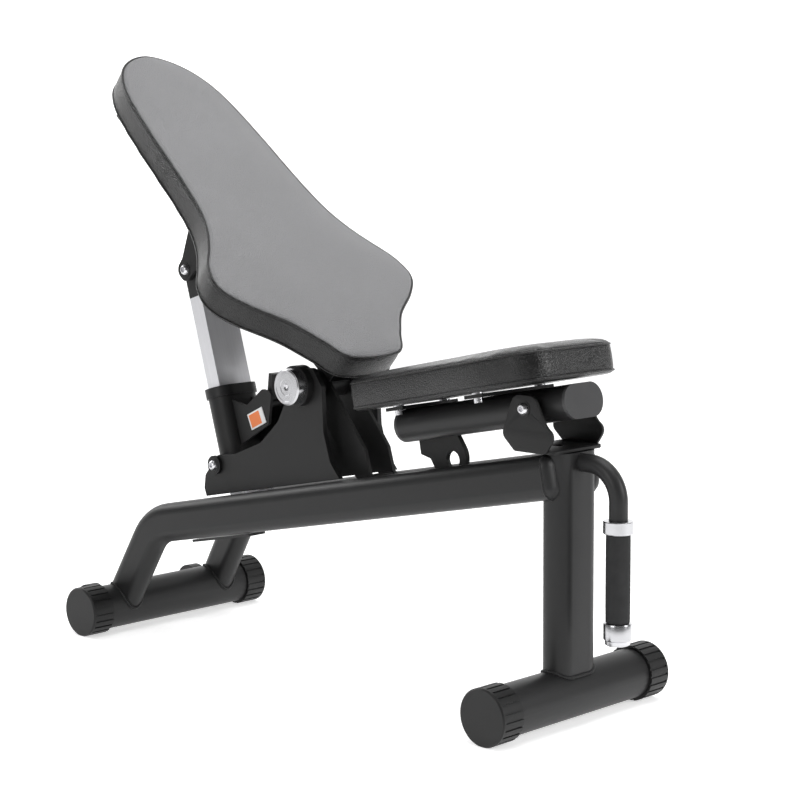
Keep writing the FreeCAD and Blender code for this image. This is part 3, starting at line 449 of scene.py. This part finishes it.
def steel_finish(name, level, gloss):
    finish = Finish(name, Metallic=1.0)
    fine = finish.noise(260, 3)
    finish.feed("Base Color", finish.mix(fine, grey(level * 0.8), grey(level)))
    finish.feed("Roughness", gloss + fine * 0.12)
    finish.bump(fine, 0.08, 0.0002)
    return finish.material


zinc = steel_finish("bright_zinc", 0.75, 0.2)
dress(zinc, "backrest_bolts", "seat_bolts", "wheel_axles", "roller_pin", "lever_pin", "pivot_axle")
bronze = Finish("bearing_bronze", Metallic=1.0)
bronze_grain = bronze.noise(300, 3)
bronze.feed("Base Color", bronze.mix(bronze_grain, (0.36, 0.24, 0.12, 1),
                                     (0.55, 0.4, 0.22, 1)))
bronze.feed("Roughness", 0.3 + bronze_grain * 0.15)
dress(bronze.material, "pivot_bushes", "seat_pivot_sleeve")
handle_metal = turned_metal("handle_aluminium", middle("handle_collar"), "z")
dress(handle_metal, "handle_collar", "handle_end_cap")
dress(steel_finish("spacer_aluminium", 0.85, 0.22), "seat_spacers")


def stand_on(mesh, centre, axis):
    """Moves a mesh from the origin to a centre and turns its z along an axis."""
    turned_way = Vector(axis).to_track_quat("Z", "Y").to_matrix().to_4x4()
    mesh.transform(Matrix.Translation(centre) @ turned_way)


def lathe(name, profile, centre, axis, material, segments=96):
    """A turned piece: (radius, height) pairs about an axis, from one pole to the other."""
    mesh = bpy.data.meshes.new(name)
    grid = bmesh.new()
    rings = []
    for radius, height in profile:
        if radius < 1e-6:
            rings.append([grid.verts.new((0, 0, height))])
            continue
        rings.append([grid.verts.new((radius * math.cos(math.tau * i / segments),
                                      radius * math.sin(math.tau * i / segments), height))
                      for i in range(segments)])
    for first, second in zip(rings, rings[1:]):
        for i in range(segments):
            j = (i + 1) % segments
            corners = [first[i % len(first)], first[j % len(first)],
                       second[j % len(second)], second[i % len(second)]]
            grid.faces.new(list(dict.fromkeys(corners)))
    bmesh.ops.recalc_face_normals(grid, faces=grid.faces)
    for face in grid.faces:
        face.smooth = True
    grid.to_mesh(mesh)
    grid.free()
    stand_on(mesh, centre, axis)
    made = link(name, mesh, material)
    mesh.set_sharp_from_angle(angle=math.radians(35))
    return made


# Pivot caps: a chamfered disc with a raised rim, shallow tool steps and a centre dimple.
for hand, side in HANDS:
    node = f"{hand}_pivot_cap"
    low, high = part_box(node)
    thick = high[1] - low[1]
    radius = (high[0] - low[0]) / 2
    outer = Vector((middle(node).x, low[1] if side > 0 else high[1], middle(node).z))
    steps = [(0, 0), (radius - 0.0006, 0), (radius, 0.0006), (radius, thick - 0.0022),
             (radius - 0.0022, thick), (radius * 0.80, thick), (radius * 0.78, thick - 0.0005),
             (radius * 0.46, thick - 0.0005), (radius * 0.44, thick - 0.0011),
             (radius * 0.20, thick - 0.0011), (radius * 0.14, thick - 0.0035),
             (0.0016, thick - 0.0042), (0, thick - 0.0055)]
    piece = lathe(node + "_turned", steps, outer, (0, side, 0),
                  turned_metal(node + "_metal", middle(node), "y"))
    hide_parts(node)
    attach(piece, "frame")

# ------------------------------------------------------------------ button-head bolts
# Each pivot has a socket button head: a low dome with a six-sided socket, in bright steel, seated
# in a thin black washer.

HEAD_HEIGHT = 0.006
SHANK_RADIUS = 0.0045
WASHER_HOLE, WASHER_RIM, WASHER_THICKNESS = 0.0052, 0.003, 0.001


def skin(grid, rings):
    """Faces between rings of equal count, and one over each end."""
    for first, second in zip(rings, rings[1:]):
        for i in range(len(first)):
            j = (i + 1) % len(first)
            grid.faces.new((first[i], first[j], second[j], second[i]))
    grid.faces.new(rings[-1])
    grid.faces.new(list(reversed(rings[0])))
    bmesh.ops.recalc_face_normals(grid, faces=grid.faces)


def socket_head(name, centre, axis, radius, height, material):
    segments = 48
    mesh = bpy.data.meshes.new(name)
    grid = bmesh.new()

    def ring(size, lift, six=False):
        made = []
        for i in range(segments):
            angle = math.tau * i / segments
            corner = math.cos((angle + math.pi / 6) % (math.pi / 3) - math.pi / 6)
            reach = size / corner if six else size
            made.append(grid.verts.new((reach * math.cos(angle), reach * math.sin(angle), lift)))
        return made

    rings = [ring(radius, 0), ring(radius, height * 0.25)]
    for share in (0.35, 0.65, 0.9):
        lift = height * (0.25 + 0.75 * math.sin(share * math.pi / 2))
        rings.append(ring(radius * (1 - share * 0.42), lift))
    rings.append(ring(radius * 0.42, height, True))
    rings.append(ring(radius * 0.40, height * 0.42, True))
    skin(grid, rings)
    grid.to_mesh(mesh)
    grid.free()
    stand_on(mesh, centre, axis)
    made = link(name, mesh, material)
    mesh.set_sharp_from_angle(angle=math.radians(30))
    for face in mesh.polygons:
        face.use_smooth = True
    return made


def joined(name, parts, material):
    """One piece out of several, whose own objects go."""
    grid = bmesh.new()
    for part in parts:
        grid.from_mesh(part.data)
        bpy.data.objects.remove(part)
    mesh = bpy.data.meshes.new(name)
    grid.to_mesh(mesh)
    grid.free()
    return link(name, mesh, material)


# The strut's lower bolts are a pair of short ones, and the other two go right through.
for node, body, inner in (("strut_anchor_bolts", "frame", 0.053),
                          ("strut_clevis_bolt", "backrest", 0.0),
                          ("seat_pivot_bolt", "frame", 0.0)):
    low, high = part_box(node)
    centre = middle(node)
    radius = (high[0] - low[0]) / 2
    seat = high[1] - HEAD_HEIGHT
    parts = []
    rim = radius + WASHER_RIM
    for hand, side in HANDS:
        parts.append(socket_head("head", Vector((centre.x, side * seat, centre.z)), (0, side, 0),
                                 radius, HEAD_HEIGHT, zinc))
        if inner:
            parts.append(lathe("shank", [(0, 0), (SHANK_RADIUS, 0), (SHANK_RADIUS, seat - inner),
                                         (0, seat - inner)],
                               Vector((centre.x, side * inner, centre.z)), (0, side, 0), zinc, 32))
        washer = lathe(f"{node}_{hand}_washer",
                       [(WASHER_HOLE, 0), (rim, 0), (rim, WASHER_THICKNESS),
                        (WASHER_HOLE, WASHER_THICKNESS), (WASHER_HOLE, 0)],
                       Vector((centre.x, side * (seat - 0.0004), centre.z)), (0, side, 0),
                       cap_plastic, 48)
        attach(washer, body)
    if not inner:
        parts.append(lathe("shank", [(0, 0), (SHANK_RADIUS, 0), (SHANK_RADIUS, 2 * seat),
                                     (0, 2 * seat)],
                           Vector((centre.x, -seat, centre.z)), (0, 1, 0), zinc, 32))
    bolts = joined(node + "_turned", parts, zinc)
    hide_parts(node)
    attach(bolts, body)

# ------------------------------------------------------------------ handle grip
# A closed-cell foam sleeve pushed over the bent handle tube. Its ends are rounded and its skin is
# dull with a fine open grain.

GRIP_BORE, GRIP_EDGE = 0.0128, 0.003
foam = Finish("foam_rubber", Specular_IOR_Level=0.3)
pores = foam.node("ShaderNodeTexVoronoi", {}, {"Vector": foam.place(), "Scale": 900.0},
                  "Distance")
soft = foam.noise(60, 4)
foam.feed("Base Color", foam.mix(soft, grey(0.016), grey(0.03)))
foam.feed("Roughness", 0.78 + pores * 0.15)
foam.bump(pores * 0.7 + soft * 0.3, 0.5, 0.0004)
low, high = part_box("handle_grip")
grip_radius = (high[0] - low[0]) / 2
grip_length = high[2] - low[2]
grip_steps = [(GRIP_BORE, 0), (grip_radius - GRIP_EDGE, 0)]
for step in range(1, 5):
    angle = math.pi / 2 * step / 4
    grip_steps.append((grip_radius - GRIP_EDGE + GRIP_EDGE * math.sin(angle),
                       GRIP_EDGE - GRIP_EDGE * math.cos(angle)))
grip_steps += [(grip_radius * 1.012, grip_length * share) for share in (0.2, 0.5, 0.8)]
grip_steps += [(radius, grip_length - height) for radius, height in reversed(grip_steps[1:6])]
grip_steps += [(GRIP_BORE, grip_length), grip_steps[0]]
grip = lathe("foam_grip", grip_steps, Vector((middle("handle_grip").x, 0, low[2])), (0, 0, 1),
             foam.material, 64)
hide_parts("handle_grip")
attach(grip, "frame")

# Turned aluminium closes the grip's two ends: a collar above and a cup with a shoulder below. Each
# profile is in shares of the piece's radius and height, and the collar is bored for the tube.
COLLAR_STEPS = ((0.97, 0), (1, 0.05), (1, 0.95), (0.97, 1))
CUP_STEPS = ((0.80, 0), (0.88, 0.04), (0.90, 0.22), (0.99, 0.27), (1, 0.31), (1, 0.96), (0.97, 1))
for node, radius, steps, bore in (("handle_collar", 0.0205, COLLAR_STEPS, 0.0129),
                                  ("handle_end_cap", 0.0192, CUP_STEPS, 0)):
    low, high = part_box(node)
    tall = high[2] - low[2]
    profile = [(bore, 0)] + [(radius * share, tall * height) for share, height in steps]
    profile += [(bore, tall), (bore, 0)] if bore else [(0, tall)]
    ring = lathe(node + "_turned", profile, Vector((middle(node).x, 0, low[2])), (0, 0, 1),
                 handle_metal, 64)
    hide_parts(node)
    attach(ring, "frame")

# ------------------------------------------------------------------ rail ends
# Each rail runs past the post's rear face and is closed beside the post by a domed steel plug,
# welded round its edge and coated with the frame.

PLUG_SIDE, PLUG_STRAIGHT, PLUG_RISE = 0.0362, 0.026, 0.013
for hand, side in HANDS:
    end = rear_foot + Vector((0.879, side * 0.039, 0.344))
    along = (end - rail_bend(side)).normalized()
    wide = (Vector((0, 0, 1)) - along * along.z).normalized()
    thick = along.cross(wide)
    grid = bmesh.new()
    rings = []
    for share in (1.0, 0.985, 0.94, 0.86, 0.74, 0.58, 0.38, 0.15):
        rise = PLUG_RISE * math.sqrt(1 - share * share)
        rings.append([grid.verts.new(end - along * 0.0015 + along * rise + wide * a + thick * b)
                      for a, b in oval_ring(PLUG_STRAIGHT + PLUG_SIDE * share, PLUG_SIDE * share)])
    skin(grid, rings)
    for face in grid.faces:
        face.smooth = True
    mesh = bpy.data.meshes.new(f"{hand}_rail_plug")
    grid.to_mesh(mesh)
    grid.free()
    plug = link(f"{hand}_rail_plug", mesh, tube_coat)
    mesh.set_sharp_from_angle(angle=math.radians(60))
    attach(plug, "frame")
    bead = [end - along * 0.0012 + wide * a + thick * b
            for a, b in oval_ring(PLUG_STRAIGHT + PLUG_SIDE, PLUG_SIDE)]
    piece = repeat_along(f"{hand}_rail_end_weld", bead, bead_tree, tube_coat, BEAD_SPACING, 0.0016,
                         0.0019)
    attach(piece, "frame")

# ------------------------------------------------------------------ seat bracket
# A pressed steel cradle on top of the post: two rounded ears for the seat's pivot bolt, bent up
# from a base with one round hole, all with eased edges.

PIVOT = Vector((0.403, 0, 0.435))
SHEET, EASED_EDGE, EAR_MIDDLE = 0.005, 0.0012, 0.0525


def rounded_loop(corners, count=8):
    """A closed outline of (x, y, radius) corners, each rounded by an arc."""
    points = []
    for index, (x, y, radius) in enumerate(corners):
        here = Vector((x, y))
        before = (Vector(corners[index - 1][:2]) - here).normalized()
        after = (Vector(corners[(index + 1) % len(corners)][:2]) - here).normalized()
        half = before.angle(after) / 2
        reach = radius / math.tan(half)
        centre = here + (before + after).normalized() * (radius / math.sin(half))
        start, stop = here + before * reach - centre, here + after * reach - centre
        sweep_angle = start.angle_signed(stop)
        for step in range(count + 1):
            turn_by = -sweep_angle * step / count
            points.append(centre + Matrix.Rotation(turn_by, 2) @ start)
    return points


def pressed_plate(loops, place):
    """A flat plate with holes and softly rounded edges."""
    data = bpy.data.curves.new("plate", "CURVE")
    data.dimensions = "2D"
    data.fill_mode = "BOTH"
    data.extrude = SHEET / 2 - EASED_EDGE
    data.bevel_depth = EASED_EDGE
    data.bevel_resolution = 3
    data.offset = -EASED_EDGE
    for loop in loops:
        spline = data.splines.new("POLY")
        spline.points.add(len(loop) - 1)
        for point, flat in zip(spline.points, loop):
            point.co = (flat[0], flat[1], 0, 1)
        spline.use_cyclic_u = True
    made = bpy.data.objects.new("plate", data)
    scene.collection.objects.link(made)
    mesh = finished_mesh(made)
    bpy.data.objects.remove(made)
    mesh.transform(place)
    grid = bmesh.new()
    grid.from_mesh(mesh)
    bmesh.ops.remove_doubles(grid, verts=grid.verts, dist=1e-6)
    bmesh.ops.recalc_face_normals(grid, faces=grid.faces)
    grid.to_mesh(mesh)
    grid.free()
    return link("plate", mesh, plate_coat)


def ring_loop(x, y, radius, count=48):
    angles = [math.tau * i / count for i in range(count)]
    return [(x + radius * math.cos(angle), y + radius * math.sin(angle)) for angle in angles]


base_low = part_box("seat_bracket")[0][2]
ear_foot = base_low - PIVOT.z
ear_shape = rounded_loop([(-0.017, ear_foot, 0.006), (-0.040, -0.038, 0.012),
                          (-0.019, 0.019, 0.0165), (0.019, 0.019, 0.0165), (0.040, -0.022, 0.03),
                          (0.056, -0.032, 0.012), (0.038, ear_foot, 0.006)])
standing = Matrix(((1, 0, 0, 0), (0, 0, -1, 0), (0, 1, 0, 0), (0, 0, 0, 1)))
parts = []
for hand, side in HANDS:
    ear_place = Matrix.Translation(PIVOT + Vector((0, side * EAR_MIDDLE, 0))) @ standing
    parts.append(pressed_plate([ear_shape, ring_loop(0, 0, 0.0061)], ear_place))
base_shape = rounded_loop([(x, y, 0.010) for x, y in ((-0.020, -EAR_MIDDLE), (0.052, -EAR_MIDDLE),
                                                      (0.052, EAR_MIDDLE), (-0.020, EAR_MIDDLE))])
parts.append(pressed_plate([base_shape, ring_loop(0.014, 0, 0.0075)],
                           Matrix.Translation((PIVOT.x, 0, base_low + SHEET / 2))))
bracket = joined("pressed_bracket", parts, plate_coat)
for face in bracket.data.polygons:
    face.use_smooth = True
bracket.data.set_sharp_from_angle(angle=math.radians(40))
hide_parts("seat_bracket")
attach(bracket, "frame")

# ------------------------------------------------------------------ boards and sticker
# Both pads' covers are stapled over plywood boards. The sticker on the lock plate is plain: an
# orange panel in a white border, with no words.

ply = Finish("painted_board", Specular_IOR_Level=0.3)
fibre = ply.noise(1.0, 4, ply.place((0, 0, 0), (40, 500, 500)))
ply.feed("Base Color", ply.mix(fibre, grey(0.014), grey(0.03)))
ply.feed("Roughness", 0.62 + fibre * 0.2)
ply.bump(fibre, 0.3, 0.0003)
dress(ply.material, "backrest_board", "seat_board")
sticker = Finish("sticker", Specular_IOR_Level=0.5)
label = middle("blank_label")
strip = sticker.node("ShaderNodeSeparateXYZ", {},
                     {0: sticker.place(label, (1, 1, 1), (0, bar_turn - 0.14, 0))})
side_way = Value(sticker, strip.socket.node.outputs["X"])
up_way = Value(sticker, strip.socket.node.outputs["Z"])
inside = ((side_way > -0.0165) * (side_way < 0.0095)
          * (up_way > -0.0105) * (up_way < 0.0105))
worn = sticker.noise(120, 3)
sticker.feed("Base Color", sticker.mix(inside, (0.72, 0.72, 0.72, 1), (0.78, 0.2, 0.05, 1)))
sticker.feed("Roughness", 0.35 + worn * 0.15)
dress(sticker.material, "blank_label")

# ------------------------------------------------------------------ backrest pad
# Foam under sewn vinyl: a pale grey panel on the face and a black band round the side, joined by a
# corded seam with a row of stitches beside it. It is stapled to the board underneath.

# Outlines are (distance from the pad's front edge, half width), in metres.
BACK_EDGE = (0.070, 0, 0.484)
BACK_LEAN = math.radians(40.5)
BACK_FRAME = Matrix.Translation(BACK_EDGE) @ Matrix.Rotation(BACK_LEAN, 4, "Y")
BACK_OUTLINE = ((0.0, 0.048), (0.040, 0.084), (0.080, 0.117), (0.120, 0.168), (0.160, 0.200),
                (0.205, 0.194), (0.245, 0.168), (0.285, 0.145), (0.330, 0.130), (0.400, 0.121),
                (0.480, 0.116), (0.560, 0.109), (0.620, 0.098), (0.665, 0.076), (0.695, 0.042),
                (0.708, 0.0))
BACK_SEAM = -0.0062
SWELL_LIMIT = 0.006
CLOTH_FRAMES = 20
PRESSURE = 4


def smooth_loop(outline, spacing=0.003):
    """A closed outline, mirrored across its middle and rounded through its points at even steps."""
    corners = [Vector((-along, half, 0)) for along, half in outline]
    corners += [Vector((-along, -half, 0)) for along, half in reversed(outline) if half > 0]
    count = len(corners)
    fine = []
    for index in range(count):
        p, q, r, s = (corners[(index + shift) % count] for shift in (-1, 0, 1, 2))
        for step in range(24):
            t = step / 24
            fine.append(0.5 * (2 * q + (r - p) * t + (2 * p - 5 * q + 4 * r - s) * t * t
                               + (3 * q - p - 3 * r + s) * t ** 3))
    lengths = [0.0]
    for index, point in enumerate(fine):
        lengths.append(lengths[-1] + (fine[(index + 1) % len(fine)] - point).length)
    total = round(lengths[-1] / spacing)
    even = []
    at = 0
    for step in range(total):
        want = lengths[-1] * step / total
        while lengths[at + 1] < want:
            at += 1
        share = (want - lengths[at]) / (lengths[at + 1] - lengths[at])
        even.append(fine[at].lerp(fine[(at + 1) % len(fine)], share))
    return even


def inset(loop, distance):
    """The loop moved towards its inside."""
    moved = []
    for index, point in enumerate(loop):
        along = (loop[(index + 3) % len(loop)] - loop[index - 3]).normalized()
        inward = Vector((-along.y, along.x, 0))
        moved.append(point + inward * distance)
    area = sum(p.x * q.y - q.x * p.y for p, q in zip(loop, loop[1:] + loop[:1]))
    if area > 0:
        return moved
    return [2 * point - shifted for point, shifted in zip(loop, moved)]


def settle(made):
    """Applies every modifier."""
    fresh = finished_mesh(made)
    made.modifiers.clear()
    made.data = fresh


def stuffed_pad(name, outline, depth, place, seam_height, material):
    """Sewn covers filled with foam: pressed out between the seams and held flat on the board."""
    loop = smooth_loop(outline)
    rings = [(-depth + 0.0004, 0.006), (-depth + 0.004, 0.0028), (-depth * 0.5, 0.002),
             (-0.0075, 0.003), (-0.0035, 0.0058), (-0.0015, 0.012)]
    grid = bmesh.new()
    made = [[grid.verts.new((point.x, point.y, height)) for point in inset(loop, distance)]
            for height, distance in rings]
    skin(grid, made)
    bmesh.ops.triangulate(grid, faces=grid.faces)
    mesh = bpy.data.meshes.new(name + "_pattern")
    grid.to_mesh(mesh)
    grid.free()
    cover = link(name, mesh, material)
    fine = cover.modifiers.new("remesh", "REMESH")
    fine.mode = "VOXEL"
    fine.voxel_size = 0.0048
    settle(cover)
    start = [vertex.co.copy() for vertex in cover.data.vertices]
    held = cover.vertex_groups.new(name="held")
    for index, point in enumerate(start):
        if point.z < -depth + 0.0035 or abs(point.z - seam_height) < 0.0024:
            held.add([index], 1.0, "REPLACE")
    cloth = cover.modifiers.new("cloth", "CLOTH")
    cloth.settings.quality = 6
    cloth.settings.mass = 0.3
    cloth.settings.tension_stiffness = 12
    cloth.settings.bending_stiffness = 3
    cloth.settings.use_pressure = True
    cloth.settings.uniform_pressure_force = PRESSURE
    cloth.settings.vertex_group_mass = "held"
    cloth.settings.effector_weights.gravity = 0
    cloth.point_cache.frame_start = 1
    cloth.point_cache.frame_end = CLOTH_FRAMES
    for moment in range(1, CLOTH_FRAMES + 1):
        scene.frame_set(moment)
    blown = cover.evaluated_get(bpy.context.evaluated_depsgraph_get()).data
    ends = [vertex.co.copy() for vertex in blown.vertices]
    cover.modifiers.remove(cloth)
    scene.frame_set(1)
    for vertex, first, last in zip(cover.data.vertices, start, ends):
        move = last - first
        if move.length > 1e-7:
            move *= SWELL_LIMIT * math.tanh(move.length / SWELL_LIMIT) / move.length
        vertex.co = first + move
    even = cover.modifiers.new("even", "SMOOTH")
    even.factor = 0.5
    even.iterations = 2
    finer = cover.modifiers.new("finer", "SUBSURF")
    finer.levels = finer.render_levels = 1
    settle(cover)
    for face in cover.data.polygons:
        face.use_smooth = True
    cover.data.transform(place)
    return cover, loop


def on_cover(cover, place, loop, height, lift=0.0, inward=0.0):
    """The outline at a height, dropped onto the stuffed cover."""
    tree = BVHTree.FromPolygons([vertex.co for vertex in cover.data.vertices],
                                [face.vertices for face in cover.data.polygons])
    found = []
    for point in inset(loop, inward) if inward else loop:
        near, normal, _, _ = tree.find_nearest(place @ Vector((point.x, point.y, height)))
        found.append(near + normal * lift)
    count = len(found)
    return [(found[i - 2] + found[i - 1] + found[i] + found[(i + 1) % count]
             + found[(i + 2) % count]) / 5 for i in range(count)]


def cord_round(name, points, radius, material):
    """A round cord along a closed path."""
    curve = path_curve(name, points)
    curve.data.bevel_depth = radius
    curve.data.bevel_resolution = 2
    mesh = finished_mesh(curve)
    bpy.data.objects.remove(curve)
    made = link(name, mesh, material)
    for face in mesh.polygons:
        face.use_smooth = True
    return made


def leather_grain(finish, scale, depth):
    """Pebbled grain: rounded cells with fine creases between."""
    where = finish.place()
    cells = finish.node("ShaderNodeTexVoronoi", {"feature": "SMOOTH_F1"},
                        {"Vector": where, "Scale": scale, "Smoothness": 0.6}, "Distance")
    creases = finish.node("ShaderNodeTexVoronoi", {"feature": "DISTANCE_TO_EDGE"},
                          {"Vector": where, "Scale": scale}, "Distance")
    fine = finish.noise(scale * 2.5, 3)
    height = cells * -0.5 + creases * 0.6 + fine * 0.2
    finish.bump(height, 0.75, depth)
    # The crease mask is handed back too, to paint shade into the creases.
    return creases, fine


vinyl = Finish("pad_vinyl", Specular_IOR_Level=0.5, Coat_Weight=0.04)
creases, fine = leather_grain(vinyl, 480.0, 0.0018)
in_pad = vinyl.node("ShaderNodeSeparateXYZ", {},
                    {0: vinyl.place(BACK_EDGE, (1, 1, 1), (0, BACK_LEAN, 0))})
upright = Value(vinyl, in_pad.socket.node.outputs["Z"])
on_face = upright > BACK_SEAM
patchy = vinyl.noise(5, 3)
pale = vinyl.mix(patchy * 0.6 + fine * 0.4, grey(0.14), grey(0.24))
# The black side band is painted darker along the grain's creases: painted shade in the creases.
dark = vinyl.mix(creases, grey(0.003), grey(0.007))
vinyl.feed("Base Color", vinyl.mix(on_face, dark, pale))
vinyl.feed("Roughness", 0.30 + on_face * 0.10 + fine * 0.14)
back_pad, back_loop = stuffed_pad("backrest_cover", BACK_OUTLINE, 0.052, BACK_FRAME, BACK_SEAM,
                                  vinyl.material)
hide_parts("backrest_pad")
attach(back_pad, "backrest")

black_vinyl = Finish("black_vinyl", Specular_IOR_Level=0.4, Coat_Weight=0.04)
creases, fine = leather_grain(black_vinyl, 400.0, 0.0012)
rubbed = black_vinyl.noise(6, 3)
# The vinyl is painted darker along the grain's creases: painted shade in the creases.
black_vinyl.feed("Base Color", black_vinyl.mix(creases * 1.5, grey(0.003), grey(0.007)))
black_vinyl.feed("Roughness", 0.2 + rubbed * 0.1 + fine * 0.1)


def thread_finish(name, dull, bright):
    """Twisted thread, banded along its length."""
    thread = Finish(name, Specular_IOR_Level=0.3)
    twist = thread.node("ShaderNodeTexWave", {"wave_profile": "SIN"},
                        {"Vector": thread.place(), "Scale": 900.0}, "Fac")
    thread.feed("Base Color", thread.mix(twist, grey(dull), grey(bright)))
    thread.feed("Roughness", 0.6 + twist * 0.15)
    return thread.material


black_thread = thread_finish("sewing_thread", 0.02, 0.05)
pale_thread = thread_finish("grey_thread", 0.22, 0.36)
black_stitches = repeat_tree("stitches", black_thread), black_thread
pale_stitches = repeat_tree("pale_stitches", pale_thread), pale_thread


def seam(name, pad, height, body, radius=0.0021):
    """A cord sewn in along the pad's outline at a height."""
    cord = cord_round(name, on_cover(*pad, height, radius * 0.45), radius, black_vinyl.material)
    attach(cord, body)


def stitch_row(name, pad, height, inward, body, stitches):
    """Single stitches along the pad's outline, lying on the cover."""
    row = repeat_along(name, on_cover(*pad, height, 0.0001, inward), *stitches, STITCH_SPACING,
                       STITCH_RADIUS, STITCH_HALF_LENGTH)
    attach(row, body)


STITCH_SPACING, STITCH_RADIUS, STITCH_HALF_LENGTH = 0.0042, 0.0004, 0.0017
back_sewing = back_pad, BACK_FRAME, back_loop
seam("backrest_seam", back_sewing, BACK_SEAM, "backrest")
stitch_row("backrest_face_stitches", back_sewing, 0.004, 0.0085, "backrest",
           pale_stitches)
stitch_row("backrest_side_stitches", back_sewing, -0.0105, 0.0, "backrest",
           black_stitches)
seam("backrest_hem", back_sewing, -0.0475, "backrest", 0.0014)

# ------------------------------------------------------------------ seat pad
# The seat is black grained vinyl on foam. A seam runs round just under its face, with stitches on
# each side, and a second one round its hem, under the board.

SEAT_LEAN = math.radians(-11.2)
BOARD_GAP, PAD_AND_BOARD = 0.0336, 0.048
SEAT_SEAM = -0.0085
SEAT_FRAME = (Matrix.Translation(PIVOT) @ Matrix.Rotation(SEAT_LEAN, 4, "Y")
              @ Matrix.Translation((0.066, 0, BOARD_GAP + PAD_AND_BOARD)))
SEAT_OUTLINE = ((0.0, 0.054), (0.014, 0.0864), (0.048, 0.106), (0.110, 0.108), (0.220, 0.091),
                (0.354, 0.076), (0.390, 0.062), (0.404, 0.0))
seat_pad, seat_loop = stuffed_pad("seat_cover", SEAT_OUTLINE, 0.051, SEAT_FRAME, SEAT_SEAM,
                                  black_vinyl.material)
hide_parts("seat_pad")
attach(seat_pad, "seat")
seat_sewing = seat_pad, SEAT_FRAME, seat_loop
seam("seat_seam", seat_sewing, SEAT_SEAM, "seat", 0.0015)
stitch_row("seat_top_stitches", seat_sewing, -0.0045, 0.0, "seat", black_stitches)
stitch_row("seat_side_stitches", seat_sewing, -0.0125, 0.0, "seat", black_stitches)
seam("seat_hem", seat_sewing, -0.0465, "seat", 0.0018)
